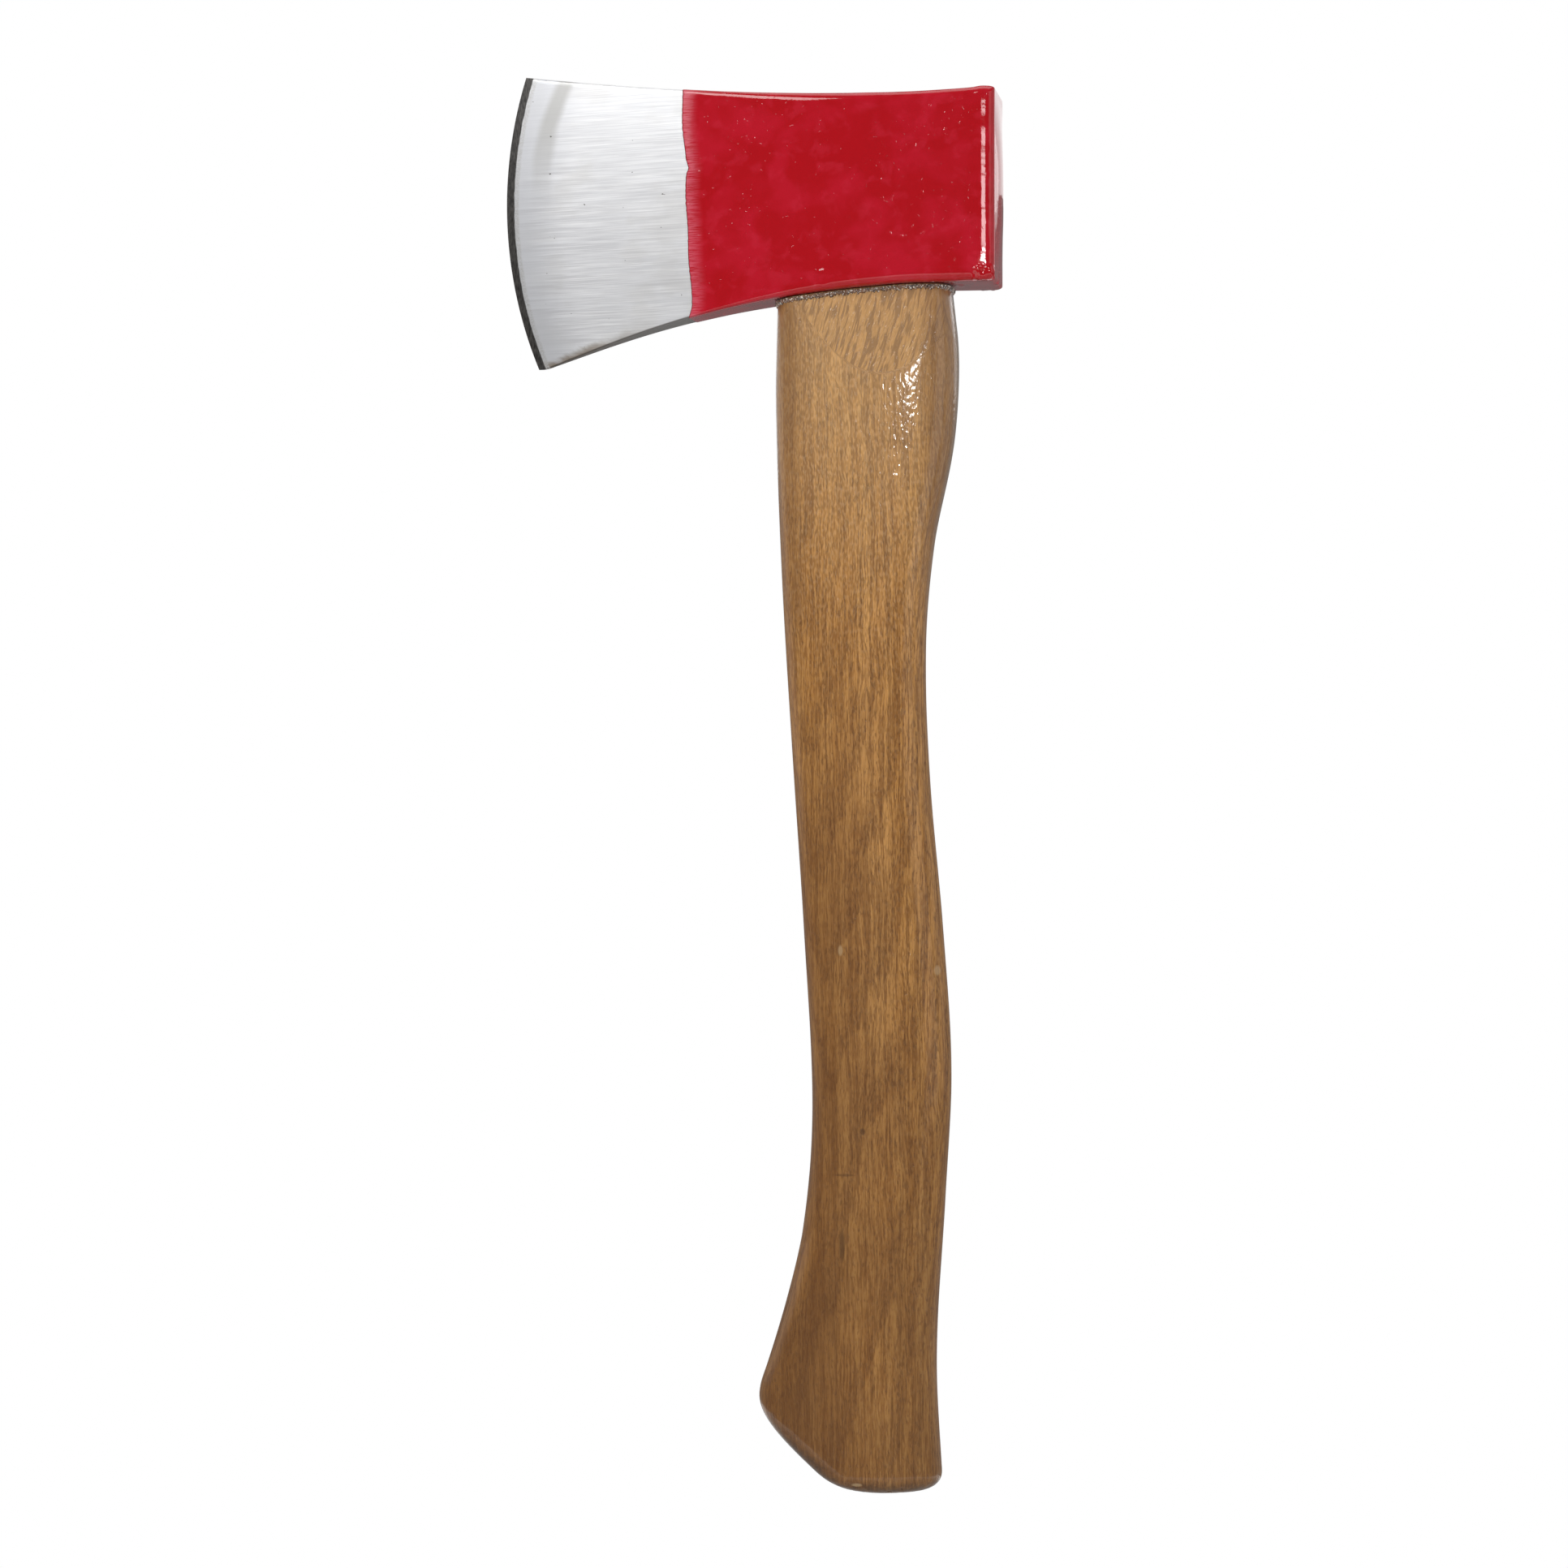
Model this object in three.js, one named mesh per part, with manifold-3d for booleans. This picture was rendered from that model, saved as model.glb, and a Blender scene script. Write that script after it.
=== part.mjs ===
// Hatchet-sized fire axe: a forged, enamelled head with a hammer poll, hung on a hickory handle.
// Millimetres, +Z up along the handle, -X towards the cutting edge, Y across the head.
// Inside the group x = 0 is the middle of the eye. The group is then moved so that the origin of
// the finished part lies on the flat underside of the poll, where a wall bracket carries the axe.

import * as THREE from 'three';
import { mergeVertices } from 'three/addons/utils/BufferGeometryUtils.js';
import Module from 'manifold-3d';

const wasm = await Module();
wasm.setup();

// ---------------------------------------------------------------- driving dimensions

const gap = 0.3;                                  // between touching pieces

// Head, side view: x from the eye's middle, z from the poll's underside.
const toe = new THREE.Vector2(-88.2, 55.2);        // upper end of the cutting edge
const heel = new THREE.Vector2(-84.8, -20.8);     // lower end of the cutting edge
const edgeRadius = 112;                           // of the curved cutting edge
const pollX = 33.7;                               // where the poll's face begins
const pollHeight = 49;
const flatUndersideX = 12;                        // the underside is level from here to the poll
const topLine = new THREE.CubicBezierCurve(
  toe,
  new THREE.Vector2(-55, 51),
  new THREE.Vector2(-10, 45.2),
  new THREE.Vector2(pollX, pollHeight),
);
const beardLine = new THREE.CubicBezierCurve(
  heel,
  new THREE.Vector2(-60, -12),
  new THREE.Vector2(-40, -3),
  new THREE.Vector2(flatUndersideX, 0),
);

// Head, plan view: half-thickness against the share of the way from the edge to the poll.
const keenHalf = 0.15;                            // the edge itself
const bevelShare = 0.016;                         // width of the honed bevel
const bevelHalf = 0.7;
const cheekHalf = 13;                             // beside the eye and at the poll
const cheekLine = smoothLine([
  [bevelShare, bevelHalf],
  [0.25, 4.5],
  [0.45, 8.2],
  [0.6, 11.4],
  [0.74, cheekHalf],
  [1, cheekHalf],
]);
const cornerRadius = 2;                           // along the head's long edges
const pollCrown = [[4.5, 0.6], [8, 1]];           // inset from the face's outline, height of the dome

// Eye: a tapered oval, wider at the top so that the wedges lock the handle.
const eyeBottom = { halfLength: 20.5, halfWidth: 8 };
const eyeTop = { halfLength: 22, halfWidth: 9.5 };
const ovalPower = 2.35;                           // 2 is an ellipse, more is boxier

// Handle, side view: x of its front and back against z.
const buttZ = -306.2;
const frontLine = smoothLine([
  [buttZ, -36],
  [-283, -28.2],
  [-261, -21.2],
  [-239, -16],
  [-209, -13.7],
  [-164, -15.9],
  [-119, -18.9],
  [-74, -21.5],
  [-29, -23],
  [0, -22.6],
]);
const backLine = smoothLine([
  [buttZ, 19.6],
  [-272, 18],
  [-231, 20.3],
  [-199, 21.8],
  [-164, 19.7],
  [-124, 16.2],
  [-91, 15.2],
  [-65, 17.4],
  [-41, 22.2],
  [-19, 23.6],
  [0, 21.8],
]);
const crestLine = smoothLine([[buttZ, 0], [-80, -1.5], [-20, 5], [0, 5]]);   // x of the thickest line
const halfThickness = smoothLine([
  [buttZ, 12.4],
  [-274, 12.4],
  [-210, 11.4],
  [-95, 10.7],
  [-30, 11.5],
  [0, 11.5],
]);
const toeCut = { x: -22.2, z: -292.6, angle: THREE.MathUtils.degToRad(40) };   // slanted end of the butt
const buttRounding = 5;
const facetHalf = 8.9;                            // the flats under the head, at the shoulder
const facetSlope = 0.115;                         // how fast they run out down the handle
const facetRounding = 0.5;
const shoulderFade = 40;                          // height over which the shoulder takes the beard's curve
const neckFullness = { bottomZ: -130, topZ: -40, extraPower: 0.75 };   // the neck is boxier than the grip

// Kerf, wedges and the bead of lacquer under the head.
const kerf = { bottomZ: 14, topZ: 60, halfX: 30, bottomHalf: 0.7, halfPerMm: 0.035 };
const woodWedge = { bottomZ: 15.5, topZ: pollHeight - 0.9, bottomHalfX: 20, topHalfX: 21 };
const stepWedge = {
  x: 11,
  bottomZ: 29,
  halfY: 6.6,
  steps: 3,
  tipHalf: 0.35,
  stepGrowth: 0.4,
  stepBack: 0.15,
  slotFlare: 0.06,                                // how far each side of the slot leans, per millimetre
};
const handleTopZ = pollHeight - 0.9;
const bead = { height: 2.4, topWidth: 1.1, bottomWidth: 0.4 };

// Resolution of the rounded surfaces.
const handleSides = 32;
const eyeSides = 40;
const buttSections = { length: 26, count: 11 };   // closer together towards the rounded end
const shaftSections = 44;
const tongueSections = [10, 22, 34, handleTopZ];

// The origin of the finished part: the middle of the level strip behind the handle.
const seatX = 28;

// ---------------------------------------------------------------- helpers

// A smooth curve through [input, output] points, straight beyond its ends.
function smoothLine(points) {
  const slope = (a, b) => (b[1] - a[1]) / (b[0] - a[0]);
  const tangents = points.map((p, i) => {
    const before = points[Math.max(i - 1, 0)];
    const after = points[Math.min(i + 1, points.length - 1)];
    return slope(before, after);
  });
  return (input) => {
    const last = points.length - 2;
    let i = 0;
    while (i < last && input > points[i + 1][0]) i += 1;
    const [a, b] = [points[i], points[i + 1]];
    const width = b[0] - a[0];
    const t = THREE.MathUtils.clamp((input - a[0]) / width, 0, 1);
    const rise = t * t * (3 - 2 * t);
    const bendA = t * (1 - t) * (1 - t) * width * tangents[i];
    const bendB = t * t * (t - 1) * width * tangents[i + 1];
    return a[1] + (b[1] - a[1]) * rise + bendA + bendB;
  };
}

// Height of a Bezier curve whose x only grows, at a given x.
function heightAt(curve, x) {
  let [low, high] = [0, 1];
  for (let step = 0; step < 40; step += 1) {
    const middle = (low + high) / 2;
    if (curve.getPoint(middle).x < x) low = middle;
    else high = middle;
  }
  return curve.getPoint((low + high) / 2).y;
}

function smoothMax(a, b, width) {
  const overlap = Math.max(width - Math.abs(a - b), 0);
  return Math.max(a, b) + (overlap * overlap) / (4 * width);
}

// A closed skin over rings with the same number of points. endCaps closes both ends,
// pairing each point with its mirror image across the ring's first-to-last axis.
function skin(rings, endCaps) {
  const count = rings[0].length;
  const positions = rings.flat().flatMap((p) => [p.x, p.y, p.z]);
  const indices = [];
  const bands = endCaps ? rings.length - 1 : rings.length;
  for (let r = 0; r < bands; r += 1) {
    const lower = r * count;
    const upper = ((r + 1) % rings.length) * count;
    for (let i = 0; i < count; i += 1) {
      const next = (i + 1) % count;
      indices.push(lower + i, lower + next, upper + next, lower + i, upper + next, upper + i);
    }
  }
  if (endCaps) {
    for (let i = 0; i < count / 2 - 1; i += 1) {
      const mirror = count - 1 - i;
      const quad = [i, i + 1, mirror - 1, mirror];
      const top = (rings.length - 1) * count;
      indices.push(quad[0], quad[2], quad[1], quad[0], quad[3], quad[2]);
      indices.push(top + quad[0], top + quad[1], top + quad[2], top + quad[0], top + quad[2], top + quad[3]);
    }
  }
  const geometry = new THREE.BufferGeometry();
  geometry.setAttribute('position', new THREE.Float32BufferAttribute(positions, 3));
  geometry.setIndex(indices);
  return geometry;
}

function toManifold(geometry) {
  const bare = geometry.clone();
  bare.deleteAttribute('normal');
  bare.deleteAttribute('uv');
  const merged = mergeVertices(bare, 1e-4);
  return new wasm.Manifold(new wasm.Mesh({
    numProp: 3,
    vertProperties: new Float32Array(merged.attributes.position.array),
    triVerts: new Uint32Array(merged.index.array),
  }));
}

function fromManifold(solid) {
  const mesh = solid.getMesh();
  const geometry = new THREE.BufferGeometry();
  geometry.setAttribute('position', new THREE.Float32BufferAttribute(mesh.vertProperties, 3));
  geometry.setIndex(Array.from(mesh.triVerts));
  return geometry;
}

// A block with a small rectangle below and a larger one above.
function taperedBlock({ x, bottomZ, topZ, bottomHalfX, bottomHalfY, topHalfX, topHalfY }) {
  const geometry = new THREE.BoxGeometry(2, 2, 1);
  const position = geometry.attributes.position;
  for (let i = 0; i < position.count; i += 1) {
    const above = position.getZ(i) > 0;
    position.setXYZ(
      i,
      x + position.getX(i) * (above ? topHalfX : bottomHalfX),
      position.getY(i) * (above ? topHalfY : bottomHalfY),
      above ? topZ : bottomZ,
    );
  }
  return geometry;
}

// ---------------------------------------------------------------- head

function undersideZ(x) {
  return x >= flatUndersideX ? 0 : heightAt(beardLine, x);
}

// The cutting edge, from heel (0) to toe (1).
function edgePoint(share) {
  const chord = toe.clone().sub(heel);
  const middle = toe.clone().add(heel).multiplyScalar(0.5);
  const depth = Math.sqrt(edgeRadius ** 2 - (chord.length() / 2) ** 2);
  const inward = new THREE.Vector2(chord.y, -chord.x).normalize();
  const centre = middle.addScaledVector(inward, depth);
  const start = heel.clone().sub(centre).angle();
  const end = toe.clone().sub(centre).angle();
  const angle = THREE.MathUtils.lerp(start, end, share);
  return new THREE.Vector2(Math.cos(angle), Math.sin(angle)).multiplyScalar(edgeRadius).add(centre);
}

// A point of the head's side view: u from the edge to the poll, w from the underside to the top.
function sidePoint(u, w) {
  const topX = THREE.MathUtils.lerp(toe.x, pollX, u);
  const bottomX = THREE.MathUtils.lerp(heel.x, pollX, u);
  const top = new THREE.Vector2(topX, heightAt(topLine, topX));
  const bottom = new THREE.Vector2(bottomX, undersideZ(bottomX));
  const bulge = edgePoint(w).sub(heel.clone().lerp(toe, w));
  return bottom.lerp(top, w).addScaledVector(bulge, 1 - u);
}

function halfThicknessAt(u) {
  if (u < bevelShare) return THREE.MathUtils.lerp(keenHalf, bevelHalf, u / bevelShare);
  return Math.min(cheekLine(u), cheekHalf);
}

// One section of the head. Inset shrinks it evenly, for the rounding round the poll's face.
function headRing(u, inset, lift) {
  const height = sidePoint(u, 1).y - sidePoint(u, 0).y;
  const half = halfThicknessAt(u) - inset;
  const radius = Math.max(Math.min(cornerRadius - inset, half * 0.6), 0.1);
  const cheekSteps = 10;
  const cornerSteps = 3;
  const outline = [];
  for (let i = 0; i <= cornerSteps; i += 1) {
    const angle = (Math.PI / 2) * (i / cornerSteps);
    outline.push([inset + radius * (1 - Math.cos(angle)), half - radius * (1 - Math.sin(angle))]);
  }
  for (let i = 1; i < cheekSteps; i += 1) {
    outline.push([THREE.MathUtils.lerp(inset + radius, height - inset - radius, i / cheekSteps), half]);
  }
  for (let i = cornerSteps; i >= 0; i -= 1) {
    const angle = (Math.PI / 2) * (i / cornerSteps);
    outline.push([height - inset - radius * (1 - Math.cos(angle)), half - radius * (1 - Math.sin(angle))]);
  }
  const rising = outline.map(([rise, y]) => {
    const point = sidePoint(u, rise / height);
    return new THREE.Vector3(point.x + lift, y, point.y);
  });
  const falling = rising.map((p) => new THREE.Vector3(p.x, -p.y, p.z)).reverse();
  return [...rising, ...falling];
}

function ovalRing({ halfLength, halfWidth }, z, sides) {
  return Array.from({ length: sides }, (_, i) => {
    const angle = (2 * Math.PI * (i + 0.5)) / sides;
    const [c, s] = [Math.cos(angle), Math.sin(angle)];
    const x = Math.sign(c) * Math.abs(c) ** (2 / ovalPower) * halfLength;
    const y = Math.sign(s) * Math.abs(s) ** (2 / ovalPower) * halfWidth;
    return new THREE.Vector3(x, y, z);
  });
}

function eyeOval(z) {
  const share = z / pollHeight;
  return {
    halfLength: THREE.MathUtils.lerp(eyeBottom.halfLength, eyeTop.halfLength, share),
    halfWidth: THREE.MathUtils.lerp(eyeBottom.halfWidth, eyeTop.halfWidth, share),
  };
}

function axeHeadGeometry() {
  const rings = [0, bevelShare / 2, bevelShare].map((u) => headRing(u, 0, 0));
  const bladeSteps = 34;
  const roundingShare = cornerRadius / (pollX - heel.x);
  for (let i = 1; i <= bladeSteps; i += 1) {
    rings.push(headRing(THREE.MathUtils.lerp(bevelShare, 1 - roundingShare, i / bladeSteps), 0, 0));
  }
  for (const angle of [Math.PI / 6, Math.PI / 3, Math.PI / 2]) {
    const inset = cornerRadius * (1 - Math.cos(angle));
    rings.push(headRing(1 - roundingShare * (1 - Math.sin(angle)), inset, 0));
  }
  for (const [inset, lift] of pollCrown) {
    rings.push(headRing(1, inset, lift));
  }
  const blank = toManifold(skin(rings, true));
  const through = [-15, pollHeight + 15].map((z) => ovalRing(eyeOval(z), z, eyeSides));
  return fromManifold(blank.subtract(toManifold(skin(through, true))));
}

// ---------------------------------------------------------------- handle

// Below 0 inside the handle's body, above 0 outside it, roughly in millimetres.
function bodyDistance(x, y, z) {
  const crest = crestLine(z);
  const reach = x < crest ? crest - frontLine(z) : backLine(z) - crest;
  const thickness = halfThickness(z);
  const across = Math.abs(x - crest) / reach;
  const up = Math.abs(y) / thickness;
  const fullness = THREE.MathUtils.smoothstep(z, neckFullness.bottomZ, neckFullness.topZ);
  const power = ovalPower + neckFullness.extraPower * fullness;
  const oval = ((across ** power + up ** power) ** (1 / power) - 1) * thickness;
  const facet = Math.abs(y) - facetHalf + facetSlope * z;
  const slant = (toeCut.x - x) * Math.sin(toeCut.angle) + (toeCut.z - z) * Math.cos(toeCut.angle);
  const shaped = smoothMax(oval, facet, facetRounding);
  return smoothMax(smoothMax(shaped, slant, buttRounding), buttZ - z, buttRounding);
}

// A level section of the handle's body, found along rays from a point inside it.
function bodyRing(z, sides) {
  const slantX = toeCut.x + (toeCut.z - z) / Math.tan(toeCut.angle);
  const front = Math.max(frontLine(z), slantX);
  const middle = (front + backLine(z)) / 2;
  const reach = (backLine(z) - front) / 2;
  return Array.from({ length: sides }, (_, i) => {
    const angle = (2 * Math.PI * (i + 0.5)) / sides;
    const [dx, dy] = [reach * Math.cos(angle), halfThickness(z) * Math.sin(angle)];
    let [inside, outside] = [0, 1.6];
    for (let step = 0; step < 30; step += 1) {
      const probe = (inside + outside) / 2;
      if (bodyDistance(middle + dx * probe, dy * probe, z) < 0) inside = probe;
      else outside = probe;
    }
    return new THREE.Vector3(middle + dx * inside, dy * inside, z);
  });
}

// Near the head the level sections take the curve of the head's underside.
function followBeard(point) {
  const share = THREE.MathUtils.smoothstep(shoulderFade - Math.abs(point.z), 0, shoulderFade);
  return new THREE.Vector3(point.x, point.y, point.z + share * undersideZ(point.x));
}

function tongueRing(z) {
  const oval = eyeOval(Math.max(z, 0));
  const inner = { halfLength: oval.halfLength - gap, halfWidth: oval.halfWidth - gap };
  return ovalRing(inner, z, handleSides);
}

function kerfHalf(z) {
  return kerf.bottomHalf + kerf.halfPerMm * (z - kerf.bottomZ);
}

function kerfCutter() {
  return taperedBlock({
    x: 0,
    bottomZ: kerf.bottomZ,
    topZ: kerf.topZ,
    bottomHalfX: kerf.halfX,
    bottomHalfY: kerf.bottomHalf,
    topHalfX: kerf.halfX,
    topHalfY: kerfHalf(kerf.topZ),
  });
}

// The slot that a step wedge has opened in the wood, clear of the wedge itself.
function stepWedgeSlot(side) {
  const full = stepWedge.tipHalf + stepWedge.steps * stepWedge.stepGrowth;
  return taperedBlock({
    x: side * stepWedge.x,
    bottomZ: stepWedge.bottomZ - gap,
    topZ: kerf.topZ,
    bottomHalfX: stepWedge.tipHalf + stepWedge.stepGrowth + gap,
    bottomHalfY: stepWedge.halfY + gap,
    topHalfX: full + gap + (kerf.topZ - handleTopZ + 1) * stepWedge.slotFlare,
    topHalfY: stepWedge.halfY + gap,
  });
}

function handleGeometry() {
  const shoulderZ = -gap;
  const shaftFootZ = buttZ + buttSections.length;
  const firstZ = buttZ + 0.02;
  const heights = [];
  for (let i = 0; i <= buttSections.count; i += 1) {
    heights.push(firstZ + buttSections.length * (i / buttSections.count) ** 2);
  }
  for (let i = 1; i <= shaftSections; i += 1) {
    heights.push(THREE.MathUtils.lerp(shaftFootZ, shoulderZ, i / shaftSections));
  }
  const rings = heights.map((z) => bodyRing(z, handleSides).map(followBeard));
  for (const z of [shoulderZ, ...tongueSections]) {
    rings.push(tongueRing(z).map(followBeard));
  }
  let solid = toManifold(skin(rings, true)).subtract(toManifold(kerfCutter()));
  for (const side of [-1, 1]) {
    solid = solid.subtract(toManifold(stepWedgeSlot(side)));
  }
  return fromManifold(solid);
}

// ---------------------------------------------------------------- wedges and bead

function woodWedgeGeometry() {
  const block = taperedBlock({
    x: 0,
    bottomZ: woodWedge.bottomZ,
    topZ: woodWedge.topZ,
    bottomHalfX: woodWedge.bottomHalfX,
    bottomHalfY: kerfHalf(woodWedge.bottomZ) - gap,
    topHalfX: woodWedge.topHalfX,
    topHalfY: kerfHalf(woodWedge.topZ) - gap,
  });
  let solid = toManifold(block);
  for (const side of [-1, 1]) {
    solid = solid.subtract(toManifold(stepWedgeSlot(side)));
  }
  return fromManifold(solid);
}

// A steel wedge whose faces step outwards, so that it can't work back out of the wood.
function stepWedgeGeometry() {
  const rise = (handleTopZ - stepWedge.bottomZ) / stepWedge.steps;
  const right = [];
  for (let step = 0; step < stepWedge.steps; step += 1) {
    const foot = stepWedge.tipHalf + step * stepWedge.stepGrowth;
    const z = stepWedge.bottomZ + step * rise;
    right.push(new THREE.Vector2(foot, z));
    right.push(new THREE.Vector2(foot + stepWedge.stepGrowth + stepWedge.stepBack, z + rise));
  }
  const left = right.map((p) => new THREE.Vector2(-p.x, p.y)).reverse();
  const profile = new THREE.Shape([...right, ...left]);
  const geometry = new THREE.ExtrudeGeometry(profile, { depth: 2 * stepWedge.halfY, bevelEnabled: false });
  geometry.rotateX(Math.PI / 2);
  geometry.translate(0, stepWedge.halfY, 0);
  return geometry;
}

// Lacquer that ran down and set in the corner between the head and the handle.
function lacquerBeadGeometry() {
  const topZ = -gap;
  const outward = (ring, amount) => ring.map((p, i) => {
    const before = ring[(i + ring.length - 1) % ring.length];
    const after = ring[(i + 1) % ring.length];
    const normal = new THREE.Vector2(after.y - before.y, before.x - after.x).normalize();
    return new THREE.Vector3(p.x + normal.x * amount, p.y + normal.y * amount, p.z);
  });
  const upper = bodyRing(topZ, eyeSides);
  const lower = bodyRing(topZ - bead.height, eyeSides);
  const rows = [
    outward(upper, gap),
    outward(upper, gap + bead.topWidth),
    outward(lower, gap + bead.bottomWidth),
    outward(lower, gap),
  ].map((row) => row.map(followBeard).map((p) => new THREE.Vector3(p.x, p.y, p.z - gap)));
  return skin(upper.map((_, i) => rows.map((row) => row[i])), false);
}

// ---------------------------------------------------------------- assembly

function piece(name, geometry, color, roughness, metalness) {
  const material = new THREE.MeshStandardMaterial({ color, roughness, metalness });
  const mesh = new THREE.Mesh(geometry, material);
  mesh.name = name;
  return mesh;
}

const axe = new THREE.Group();
axe.name = 'fire_axe';
axe.add(piece('axe_head', axeHeadGeometry(), 0xb8101f, 0.28, 0.1));
axe.add(piece('handle', handleGeometry(), 0x98703f, 0.45, 0));
axe.add(piece('wood_wedge', woodWedgeGeometry(), 0xc6a878, 0.6, 0));
for (const [name, side] of [['front_step_wedge', -1], ['rear_step_wedge', 1]]) {
  const wedge = piece(name, stepWedgeGeometry(), 0x8d8f92, 0.4, 0.9);
  wedge.position.x = side * stepWedge.x;
  axe.add(wedge);
}
axe.add(piece('lacquer_bead', lacquerBeadGeometry(), 0xb08a58, 0.2, 0));
axe.position.x = -seatX;

const part = new THREE.Group();
part.add(axe);

export default part;
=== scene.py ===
"""Looks of the hatchet-sized fire axe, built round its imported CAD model.

The CAD model gives every size and place: the outlines of the head and the handle are measured by
slicing its nodes. Lengths are metres, and MM turns millimetres into metres.
"""

import math

import bpy
import numpy as np
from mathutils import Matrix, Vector


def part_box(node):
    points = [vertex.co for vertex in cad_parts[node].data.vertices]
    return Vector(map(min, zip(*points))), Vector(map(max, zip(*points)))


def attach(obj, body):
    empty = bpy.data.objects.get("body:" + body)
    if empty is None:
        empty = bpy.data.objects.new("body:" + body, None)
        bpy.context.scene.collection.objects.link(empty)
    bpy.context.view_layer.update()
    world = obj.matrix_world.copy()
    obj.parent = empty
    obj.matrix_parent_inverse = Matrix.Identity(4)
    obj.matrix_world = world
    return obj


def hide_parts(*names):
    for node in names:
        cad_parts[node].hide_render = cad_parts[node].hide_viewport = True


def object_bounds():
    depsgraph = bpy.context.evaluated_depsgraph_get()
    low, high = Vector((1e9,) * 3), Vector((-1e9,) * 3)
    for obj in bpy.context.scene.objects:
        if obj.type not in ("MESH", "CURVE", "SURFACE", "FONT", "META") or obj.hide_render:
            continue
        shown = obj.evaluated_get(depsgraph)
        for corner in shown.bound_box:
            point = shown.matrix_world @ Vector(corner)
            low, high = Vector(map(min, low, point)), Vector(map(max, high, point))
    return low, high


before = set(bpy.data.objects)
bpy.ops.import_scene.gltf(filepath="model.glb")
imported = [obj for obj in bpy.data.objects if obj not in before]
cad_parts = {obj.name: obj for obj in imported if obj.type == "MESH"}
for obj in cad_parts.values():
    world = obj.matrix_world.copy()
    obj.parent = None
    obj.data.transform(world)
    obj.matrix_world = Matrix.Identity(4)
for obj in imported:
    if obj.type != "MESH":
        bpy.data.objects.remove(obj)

MM = 0.001
OVAL_POWER = 2.35                   # 2 would be an ellipse
X, Y, Z = 0, 1, 2

cad_low, cad_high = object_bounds()


# ---------------------------------------- measuring the CAD model

edge_cache = {}


def cad_points(node):
    return np.array([v.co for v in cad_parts[node].data.vertices])


def slice_at(node, axis, at):
    """Points where the edges of a CAD node cross the plane axis = at."""
    if node not in edge_cache:
        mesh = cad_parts[node].data
        pairs = np.array([e.vertices[:] for e in mesh.edges])
        edge_cache[node] = (cad_points(node), pairs)
    points, pairs = edge_cache[node]
    a, b = points[pairs[:, 0]], points[pairs[:, 1]]
    side_a, side_b = a[:, axis] - at, b[:, axis] - at
    crossing = side_a * side_b < 0
    share = side_a[crossing] / (side_a[crossing] - side_b[crossing])
    return a[crossing] + share[:, None] * (b[crossing] - a[crossing])


def smooth_line(stations, values):
    """A cubic curve through measured values, straight beyond its ends."""
    stations, values = np.asarray(stations, float), np.asarray(values, float)
    slopes = np.gradient(values, stations)

    def line(at):
        at = np.asarray(at, float)
        i = np.clip(np.searchsorted(stations, at) - 1, 0, len(stations) - 2)
        width = stations[i + 1] - stations[i]
        t = np.clip((at - stations[i]) / width, 0, 1)
        rise = t * t * (3 - 2 * t)
        bend = t * (1 - t) * width * ((1 - t) * slopes[i] - t * slopes[i + 1])
        beyond = np.minimum(at - stations[0], 0) * slopes[0]
        beyond = beyond + np.maximum(at - stations[-1], 0) * slopes[-1]
        return values[i] + (values[i + 1] - values[i]) * rise + bend + beyond

    return line


def lerp(a, b, share):
    return a + (b - a) * share


def smoothstep(at, low, high):
    t = np.clip((at - low) / (high - low), 0, 1)
    return t * t * (3 - 2 * t)


def smooth_max(a, b, width):
    overlap = np.maximum(width - np.abs(a - b), 0)
    return np.maximum(a, b) + overlap * overlap / (4 * width)


def ripple(at, wavelength, seed, waves=5):
    """A smooth random wave between about -1 and 1, the same on every run."""
    draws = np.random.default_rng(seed)
    total = 0
    for _ in range(waves):
        stretch, phase = draws.uniform(0.6, 1.7), draws.uniform(0, 2 * math.pi)
        total = total + np.sin(np.asarray(at) * 2 * math.pi / (wavelength * stretch) + phase)
    return total / waves * 1.6


# ---------------------------------------- meshes

def add_object(name, data):
    made = bpy.data.objects.new(name, data)
    bpy.context.scene.collection.objects.link(made)
    return made


def mesh_piece(name, points, faces, material, smooth_angle=35):
    mesh = bpy.data.meshes.new(name)
    mesh.from_pydata(np.asarray(points).reshape(-1, 3).tolist(), [], faces)
    mesh.validate()
    mesh.materials.append(material)
    mesh.shade_smooth()
    mesh.set_sharp_from_angle(angle=math.radians(smooth_angle))
    return add_object(name, mesh)


def band_faces(rings, count, start=0, flip=False, closed=False):
    """Quads between rings of count points, numbered from start."""
    faces = []
    for r in range(rings if closed else rings - 1):
        lower, upper = start + r * count, start + (r + 1) % rings * count
        for i in range(count):
            n = (i + 1) % count
            quad = (lower + i, lower + n, upper + n, upper + i)
            faces.append(quad[::-1] if flip else quad)
    return faces


def cap_faces(first, count, flip):
    """Quads across a ring whose point i mirrors point count - 1 - i."""
    faces = []
    for i in range(count // 2 - 1):
        m = count - 1 - i
        quad = (first + i, first + i + 1, first + m - 1, first + m)
        faces.append(quad[::-1] if flip else quad)
    return faces


def oval_ring(middle, half_x, half_y, z, count, first=0.0):
    """A level oval of points, the first one turned by this share of a step."""
    angle = (np.arange(count) + first) / count * 2 * math.pi
    c, s = np.cos(angle), np.sin(angle)
    x = middle + np.sign(c) * np.abs(c) ** (2 / OVAL_POWER) * half_x
    y = np.sign(s) * np.abs(s) ** (2 / OVAL_POWER) * half_y
    return np.stack([x, y, np.full(count, z)], -1)


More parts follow.
